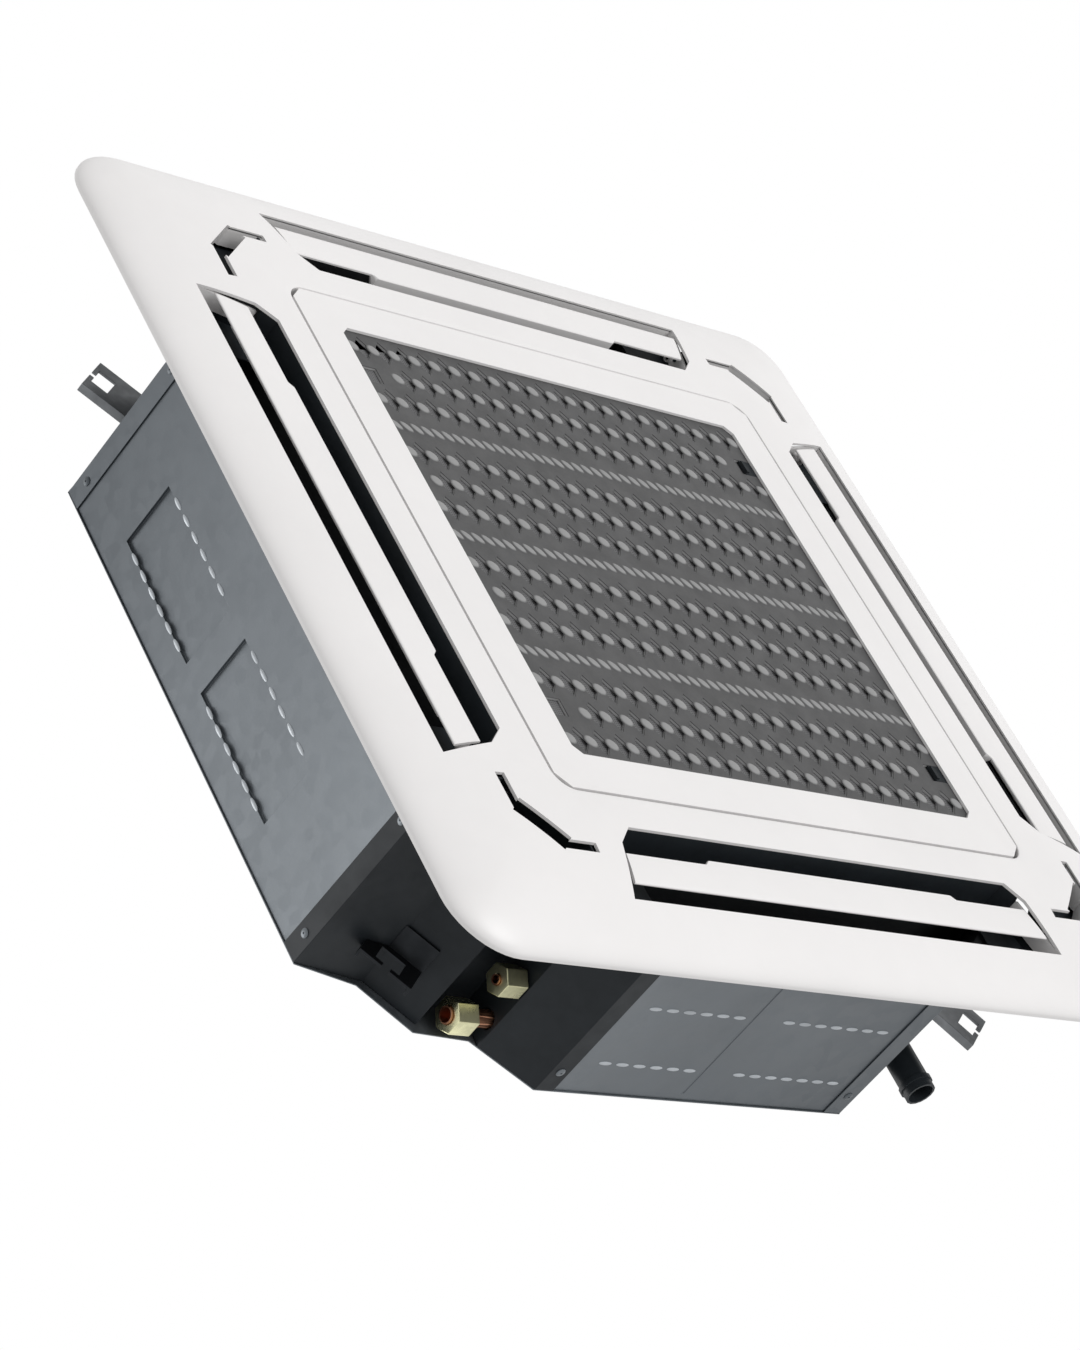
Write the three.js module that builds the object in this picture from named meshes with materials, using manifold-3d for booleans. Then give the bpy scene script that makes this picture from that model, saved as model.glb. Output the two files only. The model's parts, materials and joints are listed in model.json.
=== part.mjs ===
// A four-way ceiling cassette air conditioner with corner outlets, in millimetres.
// Z = 0 is the ceiling's underside: the casing hangs above it, the panel shows below it.
// +X, -Y is the corner where the refrigerant pipes come in.
import * as THREE from "three";
import { mergeVertices } from "three/addons/utils/BufferGeometryUtils.js";
import Module from "manifold-3d";

const wasm = await Module();
wasm.setup();

// ---------------------------------------------------------------- driving dimensions
const GAP = 0.3; // clearance between pieces that rest on each other

// casing
const CASING_HALF = 433; // centre to each flat side
const CASING_HEIGHT = 198;
const CASING_BOTTOM = 1.5;
const SHEET = 1.2;
const SHEET_FLANGE = 12;
const LAP_FLANGE = 22; // corner plates lap this far over the side plates
const REAR_CORNER = 197; // how far the two rear corners are cut back on each side
const DRAIN_CORNER_X = 261; // the drain corner's cut along X
const DRAIN_CORNER_Y = 197;
const PIPE_CORNER_X = 211; // the pipe corner's cut along X
const PIPE_CORNER_Y = 116;
const EMBOSS = 5;
const CROWN_RADIUS = 165; // raised disc on the top that carries the motor
const KNOCKOUT_WIDTH = 150;
const KNOCKOUT_HEIGHT = 70;
const KNOCKOUT_DEPTH = 3;
const KNOCKOUT_SPACE = 35; // flat sheet between the two knock-outs
const KNOCKOUT_MIDDLE_Y = -27.5;
const KNOCKOUT_Z = 127;
const FOAM = 12;

// hanger brackets
const HANGER_X = 375;
const HANGER_Y = 346;
const HANGER_Z = 150;
const HANGER_PLATE = 2.5;
const HANGER_WIDTH = 54;
const HANGER_SLOT = 13;
const HANGER_TIP = 17; // from the rod's centre to the outer edge

// drain pan, coil and bellmouth
const PAN_BOTTOM = 4;
const PAN_COIL_SPACE = 4; // the trough's inner wall to the coil
const TROUGH_SPACE = 44; // the coil to the trough's outer wall
const PAN_TROUGH_Z = 22;
const PAN_RIM_Z = 56;
const PAN_WALL = 8;
const COIL_HALF = 284; // centre to the coil's outer face
const COIL_DEPTH = 40;
const COIL_BEND = 66; // outer bend radius
const COIL_HEIGHT = 150;
const COIL_OPEN = 196; // the coil stops this far from the centre lines at the pipe corner
const FIN_PITCH = 18;
const THROAT_RADIUS = 142;
const THROAT_TOP = 68;
const BELL_PLATE_Z = 34;
const BELL_WALL = 2.5;
const BELL_FLANGE_INSET = 21; // the flange's edge inside the pan's

// fan and motor
const FAN_RADIUS = 215;
const FAN_BACK_Z = 148; // underside of the back plate
const FAN_PLATE = 3;
const HUB_Z = 100;
const HUB_RADIUS = 72;
const EYE_RADIUS = 152;
const BLADES = 7;
const BLADE_INNER = 112;
const BLADE_THICKNESS = 4;
const MOTOR_RADIUS = 62;
const MOTOR_BOTTOM = 110;
const MOTOR_TOP = 168;
const SHAFT_RADIUS = 6;
const MOUNT_CIRCLE = 88;
const MOUNT_RADIUS = 11;
const MOUNT_HEIGHT = 14;

// refrigerant and drain connections
const PIPE_Y = -380;
const GAS_X = 300;
const GAS_Z = 174;
const GAS_RADIUS = 8;
const GAS_NUT = 29; // across the flats
const LIQUID_X = 281;
const LIQUID_Z = 125;
const LIQUID_RADIUS = 4.8;
const LIQUID_NUT = 26;
const NUT_LENGTH = 24;
const PIPE_WALL_X = 266; // the cover's wall that both pipes come out of
const DRAIN_X = -249;
const DRAIN_Z = 158;
const DRAIN_RADIUS = 15;
const DRAIN_BORE = 12.5;
const DRAIN_TIP_Y = -437;

// drain pump and float switch, in the drain corner
const PUMP_INSET_X = 8; // the pump's axis inside the coil's outer face
const PUMP_OUTSET_Y = 14; // and outside it
const PUMP_RADIUS = 23;
const PUMP_TOP = 138;
const IMPELLER_RADIUS = 11;
const FLOAT_OUTSET_X = 38;
const FLOAT_INSET_Y = 52;
const FLOAT_TRAVEL = 8;

// control box, in the intake beside the bellmouth
const BOX_SIDE_SPACE = 2.2; // the box to the bellmouth's wall
const BOX_WIDTH = 48;
const BOX_LENGTH = 260;
const BOX_HEIGHT = 40;
const BOX_SHEET = 1.2;

// panel
const PANEL_SIDE = 950;
const PANEL_CORNER = 58;
const PANEL_DROP = 34.7; // ceiling to the face
const PANEL_RIM = 3;
const PANEL_WALL = 3;
const RIM_LIP = 12;
const GRILLE_OPENING = 308; // half the opening that takes the grille
const SLOT_INNER = 343.5;
const SLOT_OUTER = 420;
const SLOT_SHOULDER = 362;
const SLOT_LENGTH_OUTER = 281; // half length of the slot's edge nearest the rim
const SLOT_TAPER = 15; // how much shorter the shoulder is at each end
const SLOT_INNER_TAPER = 18; // and the inner edge than the shoulder
const SLOT_WALL_TOP = -8;
const CORNER_SLOT = 372; // centre line of the corner outlet's legs
const CORNER_SLOT_WIDTH = 20;
const CORNER_LEG_WIDTH = 10;
const CORNER_SLOT_SPACE = 19; // a long outlet's end to a corner outlet's leg
const CORNER_LEG = 34; // a leg's length, up to where it turns into the diagonal
const DUCT_WALL = 2;

// vanes
const VANE_EDGE_SPACE = 17; // the vane's outer edge to the slot's
const VANE_WIDTH = 39;
const VANE_STEP_DEPTH = 5; // the vane is this much narrower over its stepped ends
const VANE_STEP_START = 165;
const VANE_THICKNESS = 2.6;
const VANE_BOTTOM = -29.5;
const VANE_LIP_TOP = -13;
const VANE_END_GAP = 5.5;
const PIVOT_INSET = 21; // the pivot inside the vane's outer edge
const PIVOT_Z = -18;
const PIN_RADIUS = 2;
const PIN_CLEARANCE = 0.4;
const VANE_MOTOR_RADIUS = 10;
const VANE_MOTOR_LENGTH = 13.5;

// intake grille
const GRILLE_GAP = 2.5;
const GRILLE_CORNER = 14;
const OPENING_CORNER = 13; // a little smaller, so that the hinged edge can swing up past it
const LATTICE_HALF = 263; // the frame's clear opening
const LATTICE_CORNER = 9;
const LATTICE_REBATE = 6;
const LATTICE_THICKNESS = 3;
const FRAME_WALL = 3;
const FRAME_RIB_TOP = -21;
const CELL_WIDTH = 25.6;
const CELL_ROW = 34.6;
const CELL_RIB = 4.2;
const BAND_ROWS = 4; // cell rows between two straight ribs
const HINGE_X = 290;
const HINGE_Z = -28.7;
const HINGE_Y = 205;
const HINGE_EYE = 4.6;
const HINGE_ROOM = 9; // half the rib's opening round a hinge
const LATCH_Y = 205;
const LATCH_NOTCH = 22;
const LATCH_WIDTH = 20;
const LATCH_TRAVEL = 8;
const FILTER_HEIGHT = 6;

// ---------------------------------------------------------------- values that follow
const SIDES = 16; // facets on small round pieces
const PANEL_HALF = PANEL_SIDE / 2;
const SIDE_TOP = CASING_HEIGHT - SHEET - GAP;
const SHEET_INNER = CASING_HALF - SHEET;
const FOAM_OUTER = SHEET_INNER - GAP;
const FACE_Z = -PANEL_DROP;
const GRILLE_HALF = GRILLE_OPENING - GRILLE_GAP;
const LATTICE_BOTTOM = FACE_Z + FRAME_WALL + GAP;
const LATTICE_TOP = LATTICE_BOTTOM + LATTICE_THICKNESS;
const FILTER_BOTTOM = LATTICE_TOP + GAP;
const DOME_SPAN = PANEL_HALF - GRILLE_OPENING;
const PUMP_X = -(COIL_HALF - PUMP_INSET_X);
const PUMP_Y = -(COIL_HALF + PUMP_OUTSET_Y);
const FLOAT_X = -(COIL_HALF + FLOAT_OUTSET_X);
const FLOAT_Y = -(COIL_HALF - FLOAT_INSET_Y);
const VANE_OUTER = SLOT_OUTER - VANE_EDGE_SPACE;
const VANE_INNER = VANE_OUTER - VANE_WIDTH;
const VANE_STEP = VANE_INNER + VANE_STEP_DEPTH;
const PIVOT_R = VANE_OUTER - PIVOT_INSET;
const PAN_INNER_HALF = COIL_HALF - COIL_DEPTH - PAN_COIL_SPACE - PAN_WALL;
const PAN_OUTER_HALF = COIL_HALF + TROUGH_SPACE + PAN_WALL;
const BELL_FLANGE_HALF = PAN_OUTER_HALF - BELL_FLANGE_INSET;
const BOX_INNER_X = PAN_INNER_HALF - GAP - BELL_WALL - BOX_SIDE_SPACE - BOX_WIDTH;
const SLOT_LENGTH_SHOULDER = SLOT_LENGTH_OUTER - SLOT_TAPER;
const SLOT_LENGTH_INNER = SLOT_LENGTH_SHOULDER - SLOT_INNER_TAPER;
const CORNER_LEG_END = SLOT_LENGTH_OUTER + CORNER_SLOT_SPACE;
const CORNER_BEND = CORNER_LEG_END + CORNER_LEG; // where a leg turns into the diagonal

// ---------------------------------------------------------------- geometry helpers
function solidOf(geometry) {
  const bare = geometry.clone();
  bare.deleteAttribute("normal");
  bare.deleteAttribute("uv");
  const merged = mergeVertices(bare, 1e-4);
  return new wasm.Manifold(
    new wasm.Mesh({
      numProp: 3,
      vertProperties: merged.attributes.position.array,
      triVerts: new Uint32Array(merged.index.array),
    }),
  );
}

function geometryOf(solid) {
  const mesh = solid.getMesh();
  const geometry = new THREE.BufferGeometry();
  geometry.setAttribute("position", new THREE.BufferAttribute(mesh.vertProperties, 3));
  geometry.setIndex(new THREE.BufferAttribute(mesh.triVerts, 1));
  geometry.computeVertexNormals();
  return geometry;
}

const join = (...solids) => solids.reduce((a, b) => a.add(b));
const cut = (solid, ...tools) => tools.reduce((a, b) => a.subtract(b), solid);

function box(x0, x1, y0, y1, z0, z1) {
  const geometry = new THREE.BoxGeometry(x1 - x0, y1 - y0, z1 - z0);
  geometry.translate((x0 + x1) / 2, (y0 + y1) / 2, (z0 + z1) / 2);
  return solidOf(geometry);
}

// A prism over a plan outline, given as a list of [x, y] or as a THREE.Shape.
function prism(outline, z0, z1, curveSegments = 6) {
  const shape = outline instanceof THREE.Shape
    ? outline
    : new THREE.Shape(outline.map(([x, y]) => new THREE.Vector2(x, y)));
  const geometry = new THREE.ExtrudeGeometry(shape, {
    depth: z1 - z0,
    bevelEnabled: false,
    curveSegments,
  });
  geometry.translate(0, 0, z0);
  return solidOf(geometry);
}

// A solid of revolution about Z from [radius, z] points, running so that the material is on the left.
function revolve(profile, segments = 36) {
  const points = profile.map(([r, z]) => new THREE.Vector2(r, z));
  const geometry = new THREE.LatheGeometry(points, segments);
  geometry.rotateX(Math.PI / 2);
  const solid = solidOf(geometry);
  return solid.volume() < 0 ? solidOf(flipped(geometry)) : solid;
}

function flipped(geometry) {
  const turned = geometry.clone();
  const index = turned.index.array;
  for (let i = 0; i < index.length; i += 3) {
    [index[i + 1], index[i + 2]] = [index[i + 2], index[i + 1]];
  }
  return turned;
}

// A cylinder of the given radius between two points.
function rod(from, to, radius, sides = SIDES) {
  const a = new THREE.Vector3(...from);
  const b = new THREE.Vector3(...to);
  const along = b.clone().sub(a);
  const geometry = new THREE.CylinderGeometry(radius, radius, along.length(), sides);
  const turn = new THREE.Quaternion().setFromUnitVectors(
    new THREE.Vector3(0, 1, 0),
    along.clone().normalize(),
  );
  geometry.applyQuaternion(turn);
  geometry.translate((a.x + b.x) / 2, (a.y + b.y) / 2, (a.z + b.z) / 2);
  return solidOf(geometry);
}

// A tube or bar of round section along a smooth curve through points.
function bentRod(points, radius, sides = 12, steps = 24) {
  const curve = new THREE.CatmullRomCurve3(points.map((p) => new THREE.Vector3(...p)));
  const section = new THREE.Shape();
  section.absarc(0, 0, radius, 0, Math.PI * 2);
  const geometry = new THREE.ExtrudeGeometry(section, {
    extrudePath: curve,
    steps,
    curveSegments: sides,
    bevelEnabled: false,
  });
  const solid = solidOf(geometry);
  return solid.volume() < 0 ? solidOf(flipped(geometry)) : solid;
}

// A square with round corners, as plan points anticlockwise.
function roundSquare(half, radius, steps = 5) {
  const points = [];
  for (let corner = 0; corner < 4; corner++) {
    const centre = half - radius;
    const cx = corner === 0 || corner === 3 ? centre : -centre;
    const cy = corner < 2 ? centre : -centre;
    for (let i = 0; i <= steps; i++) {
      const angle = ((corner + i / steps) * Math.PI) / 2;
      points.push([cx + radius * Math.cos(angle), cy + radius * Math.sin(angle)]);
    }
  }
  return points;
}

// A square with straight-cut corners, as plan points anticlockwise.
function cutSquare(half, cutBack) {
  const inner = half - cutBack;
  return [
    [half, -inner], [half, inner], [inner, half], [-inner, half],
    [-half, inner], [-half, -inner], [-inner, -half], [inner, -half],
  ];
}

// A solid skinned over plan rings of equal point counts, each with its own height.
function skin(rings) {
  const count = rings[0].points.length;
  const positions = [];
  rings.forEach(({ points, z }) => points.forEach(([x, y]) => positions.push(x, y, z)));
  const index = [];
  for (let k = 0; k < rings.length - 1; k++) {
    for (let i = 0; i < count; i++) {
      const a = k * count + i;
      const b = k * count + ((i + 1) % count);
      index.push(a, b, b + count, a, b + count, a + count);
    }
  }
  for (let i = 1; i < count - 1; i++) {
    index.push(0, i + 1, i);
    const top = (rings.length - 1) * count;
    index.push(top, top + i, top + i + 1);
  }
  const geometry = new THREE.BufferGeometry();
  geometry.setAttribute("position", new THREE.Float32BufferAttribute(positions, 3));
  geometry.setIndex(index);
  return solidOf(geometry);
}

// The plan outline moved inwards by a distance: each edge is shifted and met with its neighbours.
function inset(outline, distance) {
  const count = outline.length;
  const edges = outline.map(([x, y], i) => {
    const [nx, ny] = outline[(i + 1) % count];
    const length = Math.hypot(nx - x, ny - y);
    const normal = [-(ny - y) / length, (nx - x) / length];
    return { x: x + normal[0] * distance, y: y + normal[1] * distance, dx: nx - x, dy: ny - y };
  });
  return edges.map((edge, i) => {
    const last = edges[(i + count - 1) % count];
    const det = last.dx * edge.dy - last.dy * edge.dx;
    const t = ((edge.x - last.x) * edge.dy - (edge.y - last.y) * edge.dx) / det;
    return [last.x + last.dx * t, last.y + last.dy * t];
  });
}

// A folded sheet that stands up along an open plan path, with its thickness to the path's left.
function foldedSheet(path, thickness, z0, z1) {
  const first = path[0];
  const last = path[path.length - 1];
  const square = (from, to) => {
    const length = Math.hypot(to[0] - from[0], to[1] - from[1]);
    return [(-(to[1] - from[1]) / length) * thickness, ((to[0] - from[0]) / length) * thickness];
  };
  const startNormal = square(first, path[1]);
  const endNormal = square(path[path.length - 2], last);
  const inner = path.map((point, i) => {
    if (i === 0) return [first[0] + startNormal[0], first[1] + startNormal[1]];
    if (i === path.length - 1) return [last[0] + endNormal[0], last[1] + endNormal[1]];
    const before = square(path[i - 1], point);
    const after = square(point, path[i + 1]);
    const bisector = [before[0] + after[0], before[1] + after[1]];
    const scale = (2 * thickness * thickness) / (bisector[0] ** 2 + bisector[1] ** 2);
    return [point[0] + bisector[0] * scale, point[1] + bisector[1] * scale];
  });
  return prism([...path, ...inner.reverse()], z0, z1);
}

function hexNut(acrossFlats, length, bore) {
  const nut = rod([0, 0, 0], [length, 0, 0], acrossFlats / Math.sqrt(3), 6);
  return cut(nut, rod([-1, 0, 0], [length + 1, 0, 0], bore, SIDES));
}

const turnZ = (solid, quarterTurns) => solid.rotate([0, 0, quarterTurns * 90]);

// ---------------------------------------------------------------- materials
const finish = (color, roughness, metalness) =>
  new THREE.MeshStandardMaterial({ color, roughness, metalness });
const galvanised = finish(0x7d858b, 0.5, 0.8);
const bracketSteel = finish(0x4a4d50, 0.5, 0.7);
const panelPlastic = finish(0xe9e7e5, 0.45, 0);
const latticePlastic = finish(0x5a5a5b, 0.6, 0);
const blackPlastic = finish(0x1c1e20, 0.6, 0);
const blackFoam = finish(0x303236, 0.95, 0);
const fanPlastic = finish(0x2b2d30, 0.5, 0);
const finAluminium = finish(0xb9bec2, 0.4, 0.9);
const copper = finish(0xb4714a, 0.35, 0.9);
const brass = finish(0xb9ad7c, 0.35, 0.9);
const rubber = finish(0x1a1a1a, 0.8, 0);
const boardGreen = finish(0x2f5d3a, 0.6, 0);
const filterNet = finish(0x3b3e42, 0.8, 0);

const cassette = new THREE.Group();
const casing = new THREE.Group();
const inside = new THREE.Group();
const panel = new THREE.Group();
cassette.add(casing, inside, panel);

function piece(parent, name, solid, material) {
  const mesh = new THREE.Mesh(geometryOf(solid), material);
  mesh.name = name;
  parent.add(mesh);
  return mesh;
}

// ---------------------------------------------------------------- casing
const H = CASING_HALF;
const casingOutline = [
  [H, -H + PIPE_CORNER_Y], [H, H - REAR_CORNER], [H - REAR_CORNER, H], [-H + REAR_CORNER, H],
  [-H, H - REAR_CORNER], [-H, -H + DRAIN_CORNER_Y], [-H + DRAIN_CORNER_X, -H],
  [H - PIPE_CORNER_X, -H],
];
// the top's own edge over the pipe corner steps in above the connections
const pipeCornerTop = [
  [H - 161, -H + 47], [H - 99, -H + 51], [H - 59, -H + 98],
];

const motorBosses = [0, 1, 2].map((i) => {
  const angle = ((i * 120 + 90) * Math.PI) / 180;
  return [MOUNT_CIRCLE * Math.cos(angle), MOUNT_CIRCLE * Math.sin(angle)];
});
const MOUNT_TOP = MOTOR_TOP + GAP + MOUNT_HEIGHT;

function casingTop() {
  const lap = SHEET + GAP;
  const outline = inset(casingOutline, -lap);
  const sheetBottom = CASING_HEIGHT - SHEET;
  const plate = prism([...outline, ...pipeCornerTop], sheetBottom, CASING_HEIGHT);
  const crownTop = CASING_HEIGHT + EMBOSS;
  const crown = revolve([
    [0, sheetBottom], [CROWN_RADIUS + EMBOSS, sheetBottom], [CROWN_RADIUS + EMBOSS, CASING_HEIGHT],
    [CROWN_RADIUS, crownTop], [0, crownTop],
  ]);
  const hollow = revolve([
    [0, sheetBottom - 1], [CROWN_RADIUS + EMBOSS - SHEET, sheetBottom - 1],
    [CROWN_RADIUS + EMBOSS - SHEET, CASING_HEIGHT - SHEET], [CROWN_RADIUS - SHEET, crownTop - SHEET],
    [0, crownTop - SHEET],
  ]);
  let top = cut(join(plate, crown), hollow);
  // pressed beads running from the crown towards the sides
  for (let i = 0; i < 4; i++) {
    const start = CROWN_RADIUS + EMBOSS + 25;
    const end = CASING_HALF - 45;
    const bead = box(start, end, -14, 14, sheetBottom, CASING_HEIGHT + EMBOSS / 2);
    const under = box(start + SHEET, end - SHEET, -14 + SHEET, 14 - SHEET,
      sheetBottom - 1, CASING_HEIGHT + EMBOSS / 2 - SHEET);
    top = cut(join(top, turnZ(bead, i)), turnZ(under, i));
  }
  const bosses = motorBosses.map(([x, y]) =>
    rod([x, y, MOUNT_TOP + GAP], [x, y, crownTop - SHEET / 2], MOUNT_RADIUS + 2));
  return join(top, ...bosses);
}
piece(casing, "casing_top", casingTop(), galvanised);

// A side plate on the +X side between two ends, with flanges turned in at top and bottom.
function sidePlate(from, to) {
  return join(
    box(SHEET_INNER, H, from, to, CASING_BOTTOM, SIDE_TOP),
    box(H - SHEET_FLANGE, H, from, to, CASING_BOTTOM, CASING_BOTTOM + SHEET),
    box(H - SHEET_FLANGE, H, from, to, SIDE_TOP - SHEET, SIDE_TOP),
  );
}

// A pressed-in rectangle with a row of short slots above and below it.
function addKnockout(plate, centre) {
  const w = KNOCKOUT_WIDTH / 2;
  const h = KNOCKOUT_HEIGHT / 2;
  const floor = SHEET_INNER - KNOCKOUT_DEPTH;
  const tray = box(floor, H, centre - w - SHEET, centre + w + SHEET,
    KNOCKOUT_Z - h - SHEET, KNOCKOUT_Z + h + SHEET);
  const pocket = box(floor + SHEET, H + 1, centre - w, centre + w, KNOCKOUT_Z - h, KNOCKOUT_Z + h);
  return cut(join(plate, tray), pocket);
}

const SIDE_END_GAP = 2;
const leftEnds = [-H + PIPE_CORNER_Y + SIDE_END_GAP, H - REAR_CORNER - SIDE_END_GAP];
const knockoutCentres = [-1, 1].map((side) => KNOCKOUT_MIDDLE_Y + side * (KNOCKOUT_WIDTH + KNOCKOUT_SPACE) / 2);
const leftPlate = knockoutCentres.reduce(addKnockout, sidePlate(...leftEnds));
piece(casing, "casing_side_left", leftPlate, galvanised);

// the other three sides are built on +X and turned into place
const frontEnds = [-H + DRAIN_CORNER_X + SIDE_END_GAP, H - PIPE_CORNER_X - SIDE_END_GAP];
const FRONT_CREASE_X = 45;
function frontPlate() {
  const plate = sidePlate(...frontEnds);
  return cut(plate, box(H - SHEET / 2, H + 1, FRONT_CREASE_X - 1.5, FRONT_CREASE_X + 1.5,
    CASING_BOTTOM + 8, SIDE_TOP - 8));
}
piece(casing, "casing_side_front", turnZ(frontPlate(), -1), galvanised);
const rearHalf = H - REAR_CORNER - SIDE_END_GAP;
piece(casing, "casing_side_rear", turnZ(sidePlate(-rearHalf, rearHalf), 1), galvanised);
const rightEnds = [-H + REAR_CORNER + SIDE_END_GAP, H - DRAIN_CORNER_Y - SIDE_END_GAP];
piece(casing, "casing_side_right", turnZ(sidePlate(...rightEnds), 2), galvanised);

// Corner plates stand on the cut corners and lap over both neighbours.
// Each corner's line: where it starts and ends on the casing's outline, anticlockwise.
const corners = {
  rear_left: { from: [H, H - REAR_CORNER], to: [H - REAR_CORNER, H] },
  rear_right: { from: [-H + REAR_CORNER, H], to: [-H, H - REAR_CORNER] },
  front_right: { from: [-H, -H + DRAIN_CORNER_Y], to: [-H + DRAIN_CORNER_X, -H] },
};
const FOOT_REACH = { rear_left: 50, rear_right: 50, front_right: 30 };
const FOOT_WIDTH = 60;

// How far a corner plate's outside stands out from the casing's outline.
const LAP = SHEET + GAP;
const outward = ([x, y], by) => [
  Math.abs(x) === H ? x + Math.sign(x) * by : x,
  Math.abs(y) === H ? y + Math.sign(y) * by : y,
];

function cornerFrame({ from, to }) {
  const dx = to[0] - from[0];
  const dy = to[1] - from[1];
  const length = Math.hypot(dx, dy);
  const out = [dy / length, -dx / length];
  const middle = [(from[0] + to[0]) / 2, (from[1] + to[1]) / 2];
  return { out, middle, distance: out[0] * middle[0] + out[1] * middle[1], length };
}

// Turns a solid built at the origin, with +X pointing out of the corner, to a place on a corner.
function placeOnCorner(solid, out, at) {
  const degrees = (Math.atan2(out[1], out[0]) * 180) / Math.PI;
  return solid.rotate([0, 0, degrees]).translate([at[0], at[1], 0]);
}

function cornerPlate(name) {
  const corner = corners[name];
  const { out, middle } = cornerFrame(corner);
  const [from, to] = [corner.from, corner.to].map((point) => outward(point, LAP));
  const onX = ([x]) => Math.abs(x) === H;
  // the laps run back along the neighbouring sides
  const back = (point, end) => {
    const turn = onX(point) ? [0, Math.sign(point[0])] : [-Math.sign(point[1]), 0];
    return [end[0] + turn[0] * LAP_FLANGE, end[1] + turn[1] * LAP_FLANGE];
  };
  const before = back(corner.from, from).map((v, i) => 2 * from[i] - v);
  const path = [before, from, to, back(corner.to, to)];
  const sheet = foldedSheet(path, SHEET, CASING_BOTTOM, SIDE_TOP);
  const footTop = PAN_BOTTOM - GAP;
  const foot = box(-FOOT_REACH[name], 0, -FOOT_WIDTH / 2, FOOT_WIDTH / 2, footTop - SHEET, footTop);
  return join(sheet, placeOnCorner(foot, out, middle));
}

const drainHole = rod([DRAIN_X, DRAIN_TIP_Y, DRAIN_Z], [DRAIN_X, DRAIN_TIP_Y + 110, DRAIN_Z],
  DRAIN_RADIUS + GAP + 0.2);
piece(casing, "casing_corner_rear_left", cornerPlate("rear_left"), galvanised);
piece(casing, "casing_corner_rear_right", cornerPlate("rear_right"), galvanised);
piece(casing, "casing_corner_front_right", cut(cornerPlate("front_right"), drainHole), galvanised);

// The pipe corner's cover is folded in behind the two connections, and holds the fourth bracket.
const PIPE_RECESS_Y = -352;
const COVER_FACET = [[H - 105, -H + 59], [H - 67, -H + 102]]; // the facet that carries the bracket
const COVER_THICKNESS = 1.6;
function pipeCover() {
  const lap = COVER_THICKNESS + GAP;
  const path = [
    [H - PIPE_CORNER_X - LAP_FLANGE, -H - lap], [H - PIPE_CORNER_X, -H - lap],
    [PIPE_WALL_X, -H + 41], [PIPE_WALL_X, PIPE_RECESS_Y], [H - 111, PIPE_RECESS_Y],
    ...COVER_FACET,
    [H + lap, -H + PIPE_CORNER_Y], [H + lap, -H + PIPE_CORNER_Y + LAP_FLANGE],
  ];
  const sheet = foldedSheet(path, COVER_THICKNESS, CASING_BOTTOM, SIDE_TOP);
  const holes = [
    rod([PIPE_WALL_X - 5, PIPE_Y, GAS_Z], [PIPE_WALL_X + 5, PIPE_Y, GAS_Z], GAS_RADIUS + 1.2),
    rod([PIPE_WALL_X - 5, PIPE_Y, LIQUID_Z], [PIPE_WALL_X + 5, PIPE_Y, LIQUID_Z], LIQUID_RADIUS + 1.2),
  ];
  return cut(sheet, ...holes);
}
piece(casing, "pipe_cover", pipeCover(), blackPlastic);

// Hanger brackets: an angle whose flat foot lies on the corner and whose slotted plate takes the rod.
// The slot's mouth is open outwards and narrowed by two hooks.
const COVER_CORNER = { from: COVER_FACET[0], to: COVER_FACET[1] };
const hangers = {
  rear_left: { sign: [1, 1], corner: corners.rear_left },
  rear_right: { sign: [-1, 1], corner: corners.rear_right },
  front_right: { sign: [-1, -1], corner: corners.front_right },
  pipe_corner: { sign: [1, -1], corner: COVER_CORNER },
};
function hangerBracket({ sign, corner }) {
  const { out, distance } = cornerFrame(
    { from: outward(corner.from, LAP), to: outward(corner.to, LAP) });
  const rodAt = [sign[0] * HANGER_X, sign[1] * HANGER_Y];
  const reach = out[0] * rodAt[0] + out[1] * rodAt[1] - distance;
  const start = -reach + GAP;
  const w = HANGER_WIDTH / 2;
  const slot = HANGER_SLOT / 2;
  const hook = 2.5;
  const plate = cut(
    box(start, HANGER_TIP, -w, w, HANGER_Z, HANGER_Z + HANGER_PLATE),
    box(0, HANGER_TIP + 1, -slot + hook, slot - hook, HANGER_Z - 1, HANGER_Z + HANGER_PLATE + 1),
    box(-slot, HANGER_TIP - 5, -slot - 6, slot + 6, HANGER_Z - 1, HANGER_Z + HANGER_PLATE + 1),
  );
  const foot = box(start, start + HANGER_PLATE, -w, w, HANGER_Z - 26, HANGER_Z + HANGER_PLATE);
  const lips = [-1, 1].map((side) => box(start, HANGER_TIP,
    side > 0 ? w - HANGER_PLATE : -w, side > 0 ? w : -w + HANGER_PLATE,
    HANGER_Z, HANGER_Z + 9));
  return placeOnCorner(join(plate, foot, ...lips), out, rodAt);
}
// the pipe corner's bracket is trimmed to the cover's next fold
const coverOutline = [
  [0, -H], [PIPE_WALL_X, -H + 41], [PIPE_WALL_X, PIPE_RECESS_Y], [H - 111, PIPE_RECESS_Y],
  ...COVER_FACET, [H + COVER_THICKNESS + GAP, -H + PIPE_CORNER_Y], [H, 0],
];
const coverRoom = prism(inset(coverOutline, -GAP), HANGER_Z - 30, HANGER_Z + 20);
for (const [name, hanger] of Object.entries(hangers)) {
  const bracket = hangerBracket(hanger);
  piece(casing, "hanger_bracket_" + name,
    hanger.corner === COVER_CORNER ? cut(bracket, coverRoom) : bracket, bracketSteel);
}

// ---------------------------------------------------------------- foam liner
const pipeOutline = [
  [H - PIPE_CORNER_X, -H], [PIPE_WALL_X, -H + 41], [PIPE_WALL_X, PIPE_RECESS_Y],
  [H - 111, PIPE_RECESS_Y], ...COVER_FACET, [H, -H + PIPE_CORNER_Y],
];
const innerOutline = [...casingOutline.slice(0, -1), ...pipeOutline.slice(0, -1)];

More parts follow.
